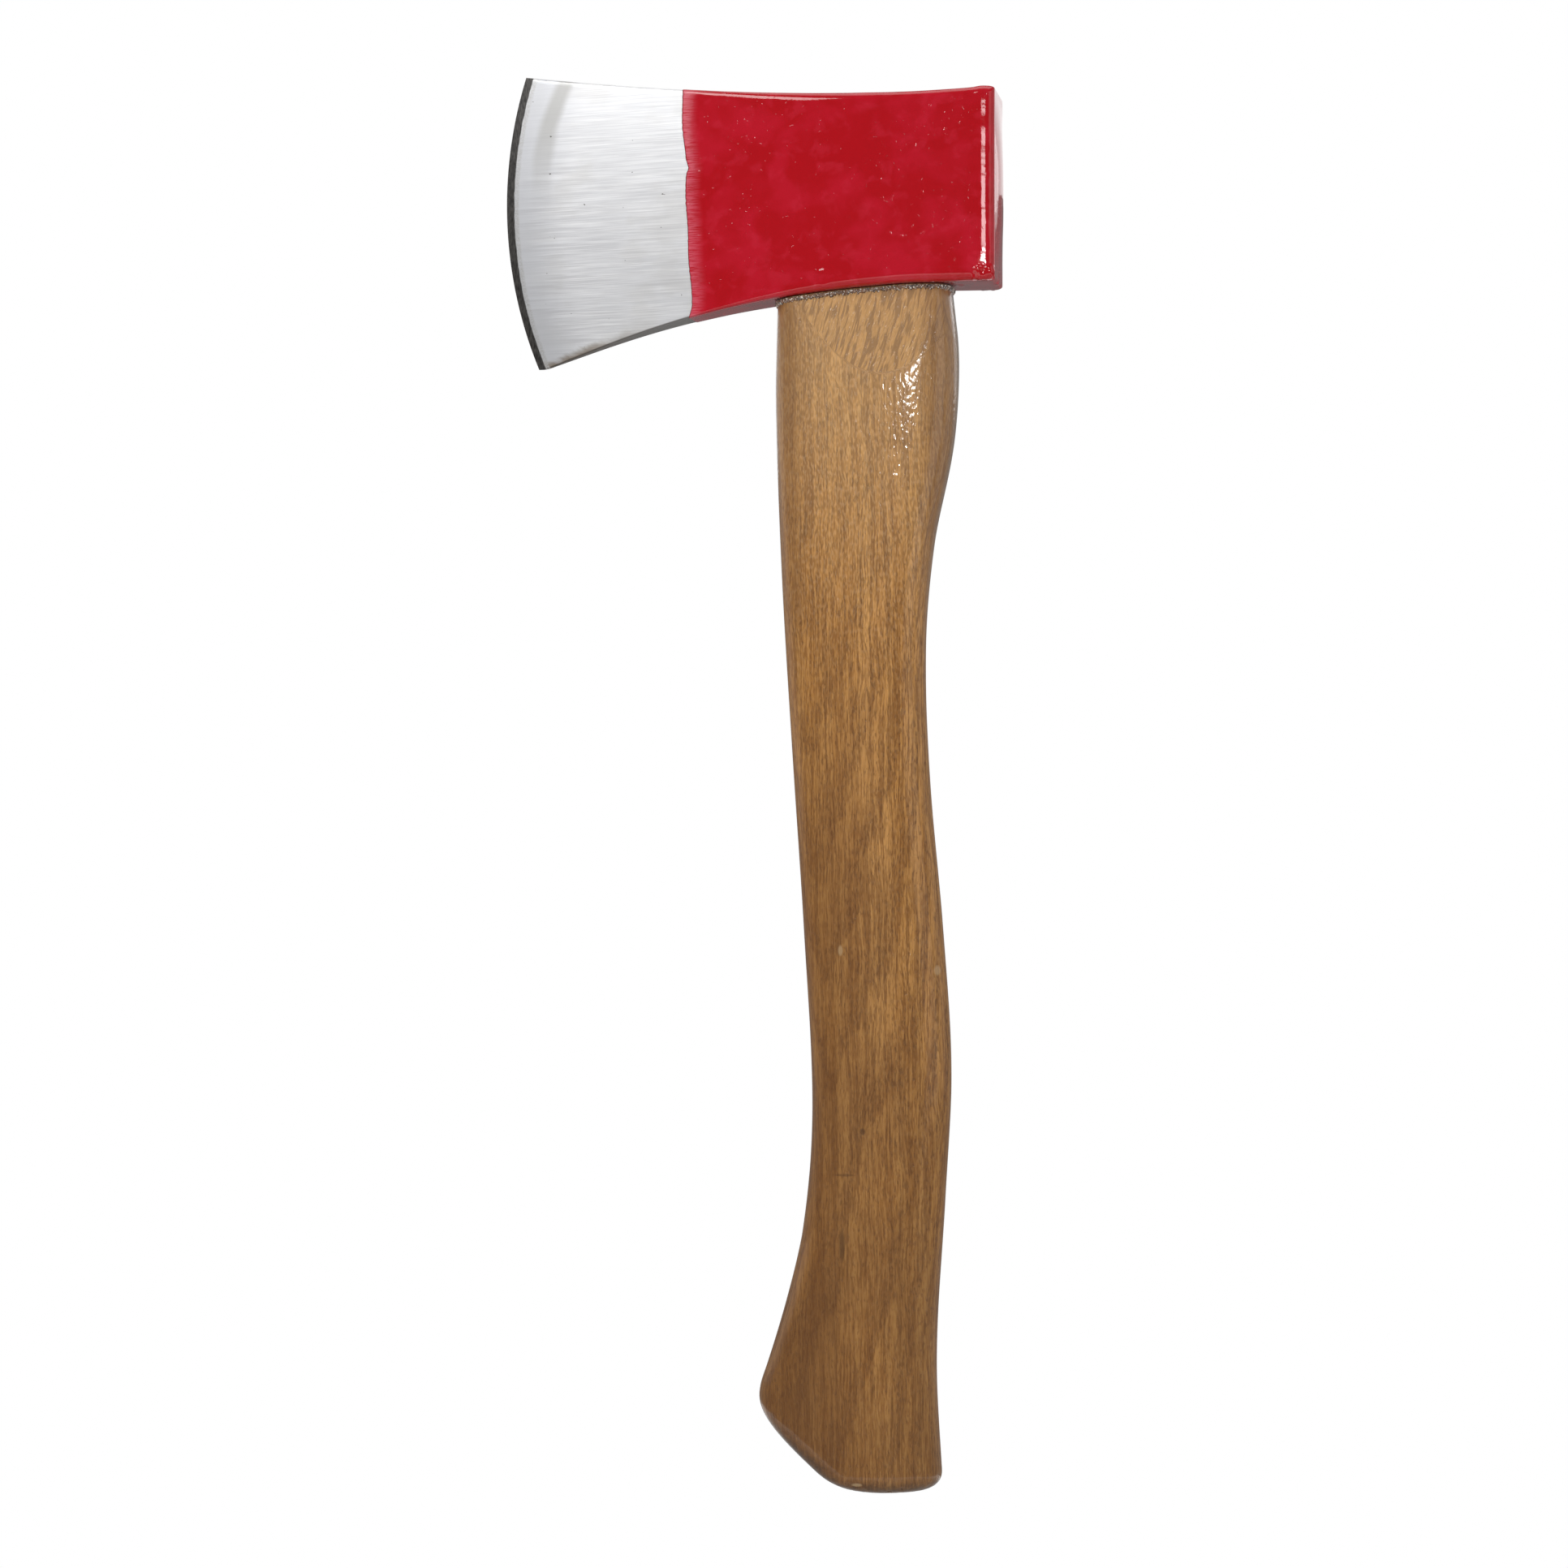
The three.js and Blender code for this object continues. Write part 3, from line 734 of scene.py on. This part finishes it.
def make_enamel():
    """Red brushed enamel: a thick gloss coat, mottled and partly lightened by a painted dim reflection,
    with nibs, thin streaks at its front and painted shade along its underside.
    """
    n = Nodes("red_enamel")
    behind = n.attribute("behind_edge")
    clouds = n.noise(n.sizes(11, 9, 9.5, (0, 25, 0)), 2.0, 0.5, 0.3)
    pink_mottle_and_sheen = n.noise(n.sizes(4.2, 4, 3.6, (10, 0, 0)), 2.5, 0.5, 0.4)
    grains = n.noise(n.sizes(0.35, 0.35, 0.35), 2, 0.5)
    brushed = n.noise(n.sizes(5, 1, 0.16), 3, 0.65)
    # lighter, pinker mottling: partly uneven paint, partly a painted dim reflection on the gloss
    red = n.mix(n.ramp(clouds, 0.4, 0.66, 0, 0.85), srgb(178, 0, 17), srgb(191, 14, 38))
    red = n.mix(n.ramp(pink_mottle_and_sheen, 0.5, 0.72, 0, 0.4), red, srgb(200, 34, 56))
    red = n.mix(n.ramp(grains, 0.35, 0.75, 0, 0.14), red, srgb(150, 2, 16))
    # thin paint shows the ground steel through it as pink streaks
    thin = n.ramp(behind, 4.6, 0.4)
    thin = n.times(thin, n.ramp(brushed, 0.34, 0.58))
    red = n.mix(n.times(thin, 0.75), red, srgb(216, 98, 116))
    rim = n.ramp(behind, 0.28, 0.12, 0, 0.9)
    red = n.mix(rim, red, srgb(92, 20, 18))
    above = n.attribute("above_underside")
    # painted shade: the enamel darkened to maroon along the downward-facing underside
    red = n.mix(n.ramp(above, 0.3, -0.05, 0, 0.4), red, srgb(70, 8, 10))
    nibs = n.noise(n.sizes(0.9, 0.9, 0.9), 1.0, 0.4)
    nibs = n.ramp(nibs, 0.7, 0.8)
    orange_peel = n.noise(n.sizes(1.5, 1.5, 1.5), 2, 0.5)
    height = n.plus(n.times(orange_peel, 0.5), nibs)
    normal = n.bump(n.times(brushed, thin), 0.02, 0.6)
    normal = n.bump(height, 0.045, 0.55, normal)
    normal = n.bump(clouds, 0.5, 0.16, normal)
    return n.finish(Base_Color=red, Roughness=0.4, Specular_IOR_Level=0.0,
                    Coat_Weight=1.0, Coat_Roughness=0.06, Normal=normal, Coat_Normal=normal)


def make_wood(name, tint, gloss, dirt_and_shade):
    """Ring-porous hardwood: growth rings about an off-centre pith, with dark pores and fibres."""
    n = Nodes(name)
    # the fibres lean where the neck is cut flat, and wander a little everywhere
    across = n.minus(n.x, mm(eye_x) + FACET_MIDDLE)
    foot = n.minus(n.times(n.times(across, across), 0.04), FACET_LENGTH)
    leaning = n.ramp(n.minus(n.z, foot), 0.0, 0.7)
    leaning = n.times(leaning, n.ramp(n.z, 2.0, 1.0))
    shift = n.times(n.times(n.z, -FACET_LEAN), leaning)
    wander = n.node("TexNoise", n.sizes(40, 40, 120)).outputs[1]
    wander = n.vector("SCALE", n.vector("SUBTRACT", wander, (0.5, 0.5, 0.5)), scale=2.4)
    fibre = n.vector("ADD", n.place, wander)
    fibre = n.vector("ADD", fibre, n.node("CombineXYZ", shift, 0.0, 0.0).outputs[0])
    log = n.vector("SUBTRACT", fibre, (mm(eye_x) + PITH_AT[0], PITH_AT[1], 0))
    radius = n.vector("LENGTH", n.vector("MULTIPLY", log, (1, 1, 0)))
    bend = n.noise(n.sizes(22, 22, 95), 1.5, 0.5)
    radius = n.plus(radius, n.plus(n.times(n.z, LOG_TAPER),
                                          n.times(bend, 3.0)))
    year = n.math("FRACT", n.over(radius, RING_WIDTH))
    early = n.times(n.ramp(year, 0.0, 0.08), n.ramp(year, 0.7, 0.1))
    streak = n.fibres(fibre, 0.62, 30, 2, 0.6)
    broad = n.fibres(fibre, 3.0, 90, 3, 0.6)
    hairs = n.fibres(fibre, 0.38, 4.6, 2, 0.7)
    pores = n.fibres(fibre, 0.34, 1.7, 1, 0.5)
    slats = n.fibres(fibre, 0.62, 5.0, 1, 0.6)
    specks = n.fibres(fibre, 0.42, 1.3, 0, 0.5)
    open_pores = n.ramp(n.minus(pores, n.ramp(early, 0, 1, 0.6, 0.53)), 0.0, 0.06)
    pale, mid, deep = tint
    figure = n.ramp(n.z, -70.0, -150.0, 0.08, 0.29)
    varnished = n.ramp(n.z, -120.0, -30.0, 0.05, 0.2)
    colour = n.mix(n.ramp(broad, 0.3, 0.7), mid, pale)
    colour = n.mix(n.ramp(hairs, 0.48, 0.34, 0, 0.5), colour, pale)
    late = n.times(n.ramp(year, 0.5, 0.95), figure)
    colour = n.mix(late, colour, pale)
    colour = n.mix(n.times(early, figure), colour, deep)
    colour = n.mix(n.ramp(streak, 0.46, 0.62, 0, 0.5), colour, deep)
    colour = n.mix(n.ramp(hairs, 0.46, 0.6, 0, 0.5), colour, deep)
    colour = n.mix(n.times(open_pores, 0.36), colour, srgb(62, 34, 14))
    colour = n.mix(n.times(n.ramp(specks, 0.5, 0.36), varnished), colour, srgb(236, 196, 146))
    colour = n.mix(n.times(n.ramp(specks, 0.5, 0.64), varnished), colour, deep)
    # painted light: the flat on the neck made paler, for the light it catches as it tilts upward
    colour = n.mix(n.times(leaning, 0.45), colour, pale)
    colour = n.mix(n.times(leaning, n.ramp(slats, 0.48, 0.6, 0, 0.8)), colour, deep)
    colour = dirt_and_shade(n, colour)
    grain = n.minus(n.times(hairs, 0.5), open_pores)
    lumps = n.times(n.fibres(fibre, 0.62, 1.1, 0, 0.5), n.ramp(n.z, -120.0, -25.0, 0.5, 1))
    normal = n.bump(grain, 0.06, 0.6)
    coat = n.bump(lumps, 0.06, 1.0, n.bump(grain, 0.04, 0.6))
    rough = n.ramp(streak, 0.3, 0.7, 0.42, 0.56)
    return n.finish(Base_Color=colour, Roughness=rough, Specular_IOR_Level=0.2, Normal=normal,
                    Coat_Weight=gloss(n), Coat_Roughness=0.09, Coat_Normal=coat)


def make_wedge_steel():
    """Mild steel step wedges: grey, scuffed, with a little rust."""
    n = Nodes("wedge_steel")
    scuffs = n.noise(n.sizes(0.3, 3, 0.4), 4, 0.6)
    rust = n.noise(n.sizes(2, 2, 2), 4, 0.6)
    colour = n.mix(n.ramp(scuffs, 0.3, 0.7), srgb(118, 116, 113), srgb(176, 175, 172))
    colour = n.mix(n.ramp(rust, 0.52, 0.66, 0, 0.7), colour, srgb(104, 66, 42))
    rough = n.ramp(rust, 0.45, 0.65, 0.38, 0.7)
    normal = n.bump(n.plus(scuffs, rust), 0.06, 0.5)
    return n.finish(Base_Color=colour, Metallic=0.85, Roughness=rough, Normal=normal)


def make_lacquer():
    """Hardened brown lacquer, rough, with near-white flecks painted in as glints."""
    n = Nodes("lacquer")
    grit_and_glints = n.noise(n.sizes(0.42, 0.42, 0.42), 2, 0.6)
    clots = n.noise(n.sizes(1.6, 1.6, 1.2), 3, 0.6)
    colour = n.mix(n.ramp(clots, 0.35, 0.65), srgb(62, 34, 14), srgb(122, 76, 38))
    # painted highlight: near-white flecks standing in for glints of light on the lacquer
    colour = n.mix(n.ramp(grit_and_glints, 0.56, 0.64, 0, 0.9), colour, srgb(250, 240, 224))
    normal = n.bump(grit_and_glints, 0.2, 0.8)
    return n.finish(Base_Color=colour, Roughness=0.18, Coat_Weight=1.0, Coat_Roughness=0.04,
                    Normal=normal, Coat_Normal=normal)


# The log, in millimetres
PITH_AT = (9.0, 42.0)               # its centre, from the middle of the eye
LOG_TAPER = 0.075
RING_WIDTH = 2.55                   # one year's growth

# The flat on the neck, in millimetres
FACET_LEAN = 0.27                   # how far the fibres lean across it
FACET_MIDDLE = 5.0                  # its middle, from the middle of the eye
FACET_LENGTH = 23.4                 # how far it reaches down the neck

# Knocks and scuffs: across from the eye and up from the butt, half width, half height and depth,
# all in millimetres
DARK_MARKS = (
    (-4.8, 62.8, 0.9, 4.6, 0.3),
    (0.4, 91.7, 0.8, 1.0, 0.35),
    (-4.2, 80.7, 3.0, 0.4, 0.1),
    (19.0, 202.0, 2.6, 0.3, 0.02),
)
PALE_MARKS = (
    (18.7, 132.3, 0.9, 1.4, 0.15),
    (-5.3, 137.4, 0.7, 1.5, 0.15),
    (-1.0, 2.6, 1.5, 0.5, 0.2),
)


def handle_marks(n, colour):
    """The colour of the knocks and scuffs on the right side."""
    front = n.ramp(n.y, 0.0, -4.0)
    for marks, tone in ((DARK_MARKS, srgb(66, 40, 20)), (PALE_MARKS, srgb(196, 166, 124))):
        for dx, dz, half_x, half_z, depth in marks:
            off_x = n.over(n.minus(n.x, mm(eye_x) + dx), half_x)
            off_z = n.over(n.minus(n.z, mm(butt_z) + dz), half_z)
            away = n.plus(n.times(off_x, off_x), n.times(off_z, off_z))
            mark = n.times(n.ramp(away, 1.2, 0.2, 0, min(0.3 + 1.2 * depth, 0.6)), front)
            colour = n.mix(mark, colour, tone)
    return colour


def handle_dirt_and_shade(n, colour):
    """Painted light and shade with some grime: paler towards the neck, darker down the left side, at the
    side edges and in smudges towards the butt, and grimy on the butt's rim.
    """
    # paler towards the neck: partly the thick lacquer's tone, partly painted light for the brighter top
    # of the handle
    colour = n.mix(n.ramp(n.z, -100.0, -4.0, 0, 0.3), colour, srgb(208, 172, 124))
    # darker down the left of the lower handle: partly stain, partly painted shade on the side turned from
    # the lights
    beside = n.ramp(n.minus(n.x, mm(eye_x)), 8.0, -10.0, 0, 0.46)
    colour = n.mix(n.times(beside, n.ramp(n.z, -60.0, -160.0)), colour, srgb(104, 62, 24))
    # painted shade: the side edges of the upper handle darkened where they turn away
    sideways = n.math("ABSOLUTE", n.minus(n.x, mm(eye_x)))
    sides = n.times(n.ramp(sideways, 13.0, 19.0, 0, 0.5), n.ramp(n.z, -130.0, -70.0))
    colour = n.mix(sides, colour, srgb(112, 72, 36))
    # darker in smudges towards the butt: partly grime, partly painted shade as the light falls off down
    # the handle
    smudge = n.noise(n.sizes(18, 18, 40), 3, 0.55)
    low = n.ramp(n.z, mm(butt_z) + 230.0, mm(butt_z) + 20.0, 0, 0.5)
    colour = n.mix(n.times(low, n.ramp(smudge, 0.3, 0.6, 0.5, 1)), colour, srgb(98, 62, 30))
    from_butt = n.minus(n.z, mm(butt_z))
    toe_line = n.plus(n.times(n.z, slant_run), mm(slant_x[0] - slant_z[0] * slant_run))
    from_toe = n.times(n.minus(n.x, toe_line), math.sin(slant_angle))
    patchy = n.times(n.noise(n.sizes(2.2, 2.2, 1.6), 3, 0.6), 4.5)
    rim = n.ramp(n.plus(n.math("MINIMUM", from_butt, from_toe), patchy), 6.5, 2.8, 0, 0.75)
    colour = n.mix(rim, colour, srgb(62, 44, 28))
    return handle_marks(n, colour)


def handle_gloss(n):
    """The lacquer is thick under the head and worn thin at the grip."""
    return n.ramp(n.z, -110.0, -20.0, 0.45, 1.0)


def no_dirt(n, colour):
    return colour


def no_gloss(n):
    return 0.15


# ---------------------------------------- handle: measured lines

handle_points = cad_points("handle")
butt_z = handle_points[:, Z].min()
handle_top = handle_points[:, Z].max()
GAP = 0.3 * MM
FACET_HALF = 8.9 * MM               # half the width of the neck at the head, across its flats
FACET_SLOPE = 0.115
FACET_ROUNDING = 0.25 * MM
BUTT_ROUNDING = 5 * MM
NECK_FULLNESS = 0.75                # how much squarer the oval is at the neck
SHOULDER_FADE = 40 * MM
RING_POINTS = 168
BUTT_PART = 26 * MM                 # at the butt the rings lie closer together
CUTTER_ABOVE = 12 * MM              # how far the cutters stand over the handle's end


def handle_line(low, high, measure):
    stations = np.linspace(low, high, 60)
    return smooth_line(stations, [measure(slice_at("handle", Z, z)) for z in stations])


front_line = handle_line(butt_z + 22 * MM, -8 * MM, lambda s: s[:, X].min())
back_line = handle_line(butt_z + 6 * MM, -3 * MM, lambda s: s[:, X].max())
half_line = handle_line(butt_z + 6 * MM, -34 * MM, lambda s: s[:, Y].max())
slant_z = np.array((butt_z + 7 * MM, butt_z + 11 * MM))
slant_x = np.array([slice_at("handle", Z, z)[:, X].min() for z in slant_z])
slant_run = (slant_x[1] - slant_x[0]) / (slant_z[1] - slant_z[0])
slant_angle = math.atan2(1, -slant_run)
crest_line = smooth_line((butt_z, -80 * MM, -20 * MM, 0), eye_x + np.array((0, -1.5, 5, 5)) * MM)


def slant_front(z):
    """x of the cut-off toe of the butt at this height."""
    return slant_x[0] + (z - slant_z[0]) * slant_run


def body_distance(x, y, z):
    """Below 0 inside the handle's body and above 0 outside it."""
    crest = crest_line(z)
    reach = np.where(x < crest, crest - front_line(z), back_line(z) - crest)
    thickness = half_line(z)
    across, up = np.abs(x - crest) / reach, np.abs(y) / thickness
    power = OVAL_POWER + NECK_FULLNESS * smoothstep(z, -130 * MM, -40 * MM)
    oval = ((across ** power + up ** power) ** (1 / power) - 1) * thickness
    facet = np.abs(y) - FACET_HALF + FACET_SLOPE * z
    slant = (slant_front(z) - x) * math.sin(slant_angle)
    shaped = smooth_max(oval, facet, FACET_ROUNDING)
    return smooth_max(smooth_max(shaped, slant, BUTT_ROUNDING), butt_z - z, BUTT_ROUNDING)


def body_rings(heights):
    z = heights[:, None]
    front = np.maximum(front_line(z), slant_front(z))
    middle, reach = (front + back_line(z)) / 2, (back_line(z) - front) / 2
    angle = (np.arange(RING_POINTS) + 0.5) / RING_POINTS * 2 * math.pi
    dx, dy = reach * np.cos(angle), half_line(z) * np.sin(angle)
    inside, outside = np.zeros_like(dx), np.full_like(dx, 1.6)
    for _ in range(34):
        probe = (inside + outside) / 2
        within = body_distance(middle + dx * probe, dy * probe, z) < 0
        inside, outside = np.where(within, probe, inside), np.where(within, outside, probe)
    return np.stack([middle + dx * inside, dy * inside, z + 0 * dx], -1)


def follow_beard(points):
    """Near the head the level sections take the curve of the head's underside."""
    share = smoothstep(SHOULDER_FADE - np.abs(points[..., Z]), 0, SHOULDER_FADE)
    lowered = points.copy()
    lowered[..., Z] += share * np.minimum(under_height(points[..., X]), 0)
    return lowered


def dents(points):
    """The knocks in the right side of the handle, and the battered rim of its butt."""
    sunk = points.copy()
    for dx, dz, half_x, half_z, depth in DARK_MARKS + PALE_MARKS:
        off_x = (mm(points[..., X] - eye_x) - dx) / half_x
        off_z = (mm(points[..., Z] - butt_z) - dz) / half_z
        sunk[..., Y] += depth * MM * np.exp(-off_x ** 2 - off_z ** 2) * (points[..., Y] < 0)
    x, y, z = np.moveaxis(points, -1, 0)
    low = smoothstep(butt_z + 6 * MM - z, 0, 5 * MM)
    knocks = ripple(x + 2 * y, 6 * MM, 41) * ripple(y - x, 3.5 * MM, 42)
    sunk[..., Z] += 0.45 * MM * low * np.clip(knocks, 0, 1)
    return sunk


def block(name, x, half_x, half_y, bottom, top, spread_y=0.0, spread_x=0.0):
    """An upright wedge-shaped block, wider at its top by spread on each side."""
    corners = ((1, 1), (-1, 1), (-1, -1), (1, -1))
    rings = []
    for z, share in ((bottom, 0), (top, 1)):
        wide_x, wide_y = half_x + spread_x * share, half_y + spread_y * share
        rings.append([(x + sx * wide_x, sy * wide_y, z) for sx, sy in corners])
    faces = band_faces(2, 4) + [(3, 2, 1, 0), (4, 5, 6, 7)]
    return mesh_piece(name, rings, faces, hickory)


def kerf_cutter():
    """The saw kerf, opened to the taper of the wood wedge in it."""
    low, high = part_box("wood_wedge")
    half = np.abs(slice_at("wood_wedge", Z, low.z + 1 * MM)[:, Y]).max()
    spread = (high.y - half) * (high.z + CUTTER_ABOVE - low.z) / (high.z - low.z)
    return block("kerf", eye_x, 30 * MM, half + 0.1 * MM, low.z - 1 * MM, high.z + CUTTER_ABOVE, spread)


def step_wedge_cutter(node):
    """The slot that a steel wedge has split in the end of the handle."""
    low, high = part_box(node)
    middle, half = (low.x + high.x) / 2, (high.x - low.x) / 2
    return block(node + "_slot", middle, half * 0.55, high.y + 0.25 * MM, low.z - GAP,
                 high.z + CUTTER_ABOVE, 0, half * 0.8)


def shaped_handle():
    heights = np.concatenate([
        butt_z + 0.02 * MM + BUTT_PART * np.linspace(0, 1, 60)[:-1] ** 2,
        np.linspace(butt_z + BUTT_PART, -GAP, 420),
    ])
    rings = list(follow_beard(dents(body_rings(heights))))
    for z in np.concatenate([[-GAP], np.linspace(4 * MM, handle_top, 24)]):
        rings.append(follow_beard(oval_ring(*tongue_size(z), z, RING_POINTS, 0.5)))
    faces = band_faces(len(rings), RING_POINTS)
    faces += cap_faces(0, RING_POINTS, True)
    faces += cap_faces((len(rings) - 1) * RING_POINTS, RING_POINTS, False)
    piece = mesh_piece("shaped_handle", rings, faces, hickory, 40)
    cut(piece, kerf_cutter())
    for node in ("front_step_wedge", "rear_step_wedge"):
        cut(piece, step_wedge_cutter(node))
    return piece


# ---------------------------------------- bead of lacquer under the head

BEAD_STEPS = 640
BEAD_PROFILE = 10


def joint_bead():
    """A clotted line of lacquer squeezed out between the handle's shoulder and the head."""
    outline = body_rings(np.array([-2 * GAP]))[0]
    closed = np.concatenate([outline, outline[:1]])
    walked = np.concatenate([[0], np.linalg.norm(np.diff(closed, axis=0), axis=1).cumsum()])
    length = np.arange(BEAD_STEPS) / BEAD_STEPS * walked[-1]
    path = np.stack([np.interp(length, walked, closed[:, axis]) for axis in (X, Y, Z)], -1)
    ahead = np.roll(path, -3, 0) - np.roll(path, 3, 0)
    out = np.stack([ahead[:, 1], -ahead[:, 0], 0 * ahead[:, 0]], -1)
    out /= np.linalg.norm(out, axis=1, keepdims=True)
    lumps = ripple(length, 2.6 * MM, 31, 8) * 0.5 + ripple(length, 0.8 * MM, 32, 8) * 0.5
    width = np.clip(0.65 + 0.35 * lumps, 0.2, 1.1) * MM
    drop = np.clip(1.05 + 0.75 * np.roll(lumps, 17), 0.3, 2.2) * MM
    points = np.zeros((BEAD_STEPS, BEAD_PROFILE, 3))
    base = np.minimum(under_height(path[:, X]), 0) - 0.62 * MM
    for i, turn in enumerate(np.arange(BEAD_PROFILE) / BEAD_PROFILE * 2 * math.pi):
        points[:, i] = path + out * (width * math.cos(turn))[:, None]
        points[:, i, Z] = base + np.where(math.sin(turn) > 0, 0.0, drop) * math.sin(turn)
    faces = band_faces(BEAD_STEPS, BEAD_PROFILE, 0, True, True)
    return mesh_piece("joint_bead", points, faces, lacquer, 60)


# ---------------------------------------- stage

VIEW_TURN = math.radians(7.83)      # how far the camera stands round towards the poll
VIEW_DISTANCE = 1.1365
LENS = 102.7
AIM = (-48.73 * MM, -126.7 * MM)    # across and up from the seat, seen from the camera
FLOOR_DROP = 0.25                   # below the butt: the axe hangs by its head
FLOOR_HALF = 1.0
SOFT_LIGHT = 0.2


def make_camera():
    right = Vector((math.cos(VIEW_TURN), math.sin(VIEW_TURN), 0))
    ahead = Vector((-math.sin(VIEW_TURN), math.cos(VIEW_TURN), 0))
    camera = add_object("camera", bpy.data.cameras.new("camera"))
    camera.data.sensor_width = 36
    camera.data.lens = LENS
    camera.data.clip_start, camera.data.clip_end = 0.05, 50
    camera.location = right * AIM[0] + Vector((0, 0, AIM[1])) - ahead * VIEW_DISTANCE
    camera.rotation_euler = ahead.to_track_quat("-Z", "Y").to_euler()
    bpy.context.scene.camera = camera


def make_light(name, place, target, size, power, only_gloss=False):
    light = bpy.data.lights.new(name, "AREA")
    light.shape = "RECTANGLE"
    light.size, light.size_y = size
    light.energy = power
    lamp = add_object(name, light)
    lamp.location = place
    lamp.visible_camera = False
    lamp.visible_diffuse = not only_gloss
    lamp.rotation_euler = (Vector(target) - Vector(place)).to_track_quat("-Z", "Y").to_euler()


def make_floor():
    """A pale floor that fades into the white all round."""
    mesh = bpy.data.meshes.new("floor")
    corners = ((-1, -1), (1, -1), (1, 1), (-1, 1))
    z = cad_low.z - FLOOR_DROP
    mesh.from_pydata([(x * FLOOR_HALF, y * FLOOR_HALF, z) for x, y in corners], [], [(0, 1, 2, 3)])
    n = Nodes("floor")
    away = n.vector("LENGTH", n.vector("MULTIPLY", n.place, (1, 1, 0)))
    glow = n.ramp(away, 450.0, 960.0, 0.0, 1.2)
    mesh.materials.append(n.finish(
        Base_Color=(0.8, 0.8, 0.8, 1), Roughness=0.9,
        Emission_Color=(1, 1, 1, 1), Emission_Strength=glow))
    floor = add_object("floor", mesh)


def make_world():
    """White where the camera sees it, and a soft grey light on everything else."""
    world = bpy.data.worlds.new("studio")
    world.use_nodes = True
    nodes, links = world.node_tree.nodes, world.node_tree.links
    nodes.clear()
    chosen = nodes.new("ShaderNodeMixShader")
    links.new(nodes.new("ShaderNodeLightPath").outputs["Is Camera Ray"], chosen.inputs[0])
    for place, grey in ((1, SOFT_LIGHT), (2, 1.0)):
        background = nodes.new("ShaderNodeBackground")
        background.inputs["Color"].default_value = (grey, grey, grey, 1)
        links.new(background.outputs[0], chosen.inputs[place])
    links.new(chosen.outputs[0], nodes.new("ShaderNodeOutputWorld").inputs[0])
    bpy.context.scene.world = world
    bpy.context.scene.view_settings.view_transform = "Standard"


def make_lights():
    centre = (eye_x, 0, (cad_low.z + cad_high.z) / 2)
    upper = (eye_x, 0, 0)
    make_light("key", (-0.5, -0.68, 0.5), upper, (0.42, 0.42), 4.5)
    make_light("front", (0.1, -1.04, 0.072), upper, (0.1, 0.045), 1.2)
    make_light("head_front", (0.11, -1.04, 0.15), upper, (0.2, 0.07), 0.5)
    make_light("right", (0.85, -0.45, 0.12), centre, (0.6, 0.9), 1.45)
    make_light("above", (0.0, 0.15, 1.1), upper, (1.2, 0.8), 5)
    make_light("behind_left", (-0.95, 0.3, 0.3), centre, (0.8, 1.1), 1.4)
    make_light("behind_right", (1.05, 0.3, 0.2), centre, (0.8, 1.1), 1.2)
    make_light("behind", (0.2, 1.4, 0.54), centre, (1.2, 0.7), 2.4)
    # these two only brighten the rims of the glossy neck
    level = (0, 0, 0.31)
    make_light("rim_left", (-0.8, 1.3, 0.31), level, (0.75, 0.54), 0.94, only_gloss=True)
    make_light("rim_right", (0.8, 1.3, 0.31), level, (0.7, 0.54), 0.9, only_gloss=True)


# ---------------------------------------- assembly

red_enamel = make_enamel()
ground_steel = make_steel()
hickory = make_wood(
    "hickory",
    (srgb(206, 151, 84), srgb(181, 126, 62), srgb(110, 66, 25)),
    handle_gloss, handle_dirt_and_shade)
wedge_wood = make_wood(
    "wedge_wood",
    (srgb(222, 190, 140), srgb(206, 170, 118), srgb(168, 124, 76)),
    no_gloss, no_dirt)
wedge_steel = make_wedge_steel()
lacquer = make_lacquer()

forging = head_forging()
enamel = head_enamel()
handle = shaped_handle()
bead = joint_bead()

for piece, node, slot in (
    (forging, "axe_head", "ground_steel"),
    (handle, "handle", "hickory"),
    (bead, "lacquer_bead", "lacquer"),
):
    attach(piece, "root")
    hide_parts(node)
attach(enamel, "root")

for node, material, width in (
    ("wood_wedge", wedge_wood, 0.15 * MM),
    ("front_step_wedge", wedge_steel, 0.2 * MM),
    ("rear_step_wedge", wedge_steel, 0.2 * MM),
):
    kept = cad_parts[node]
    kept.data.materials.clear()
    kept.data.materials.append(material)
    bevel = kept.modifiers.new("edges", "BEVEL")
    bevel.width, bevel.segments = width, 2

make_camera()
make_floor()
make_world()
make_lights()
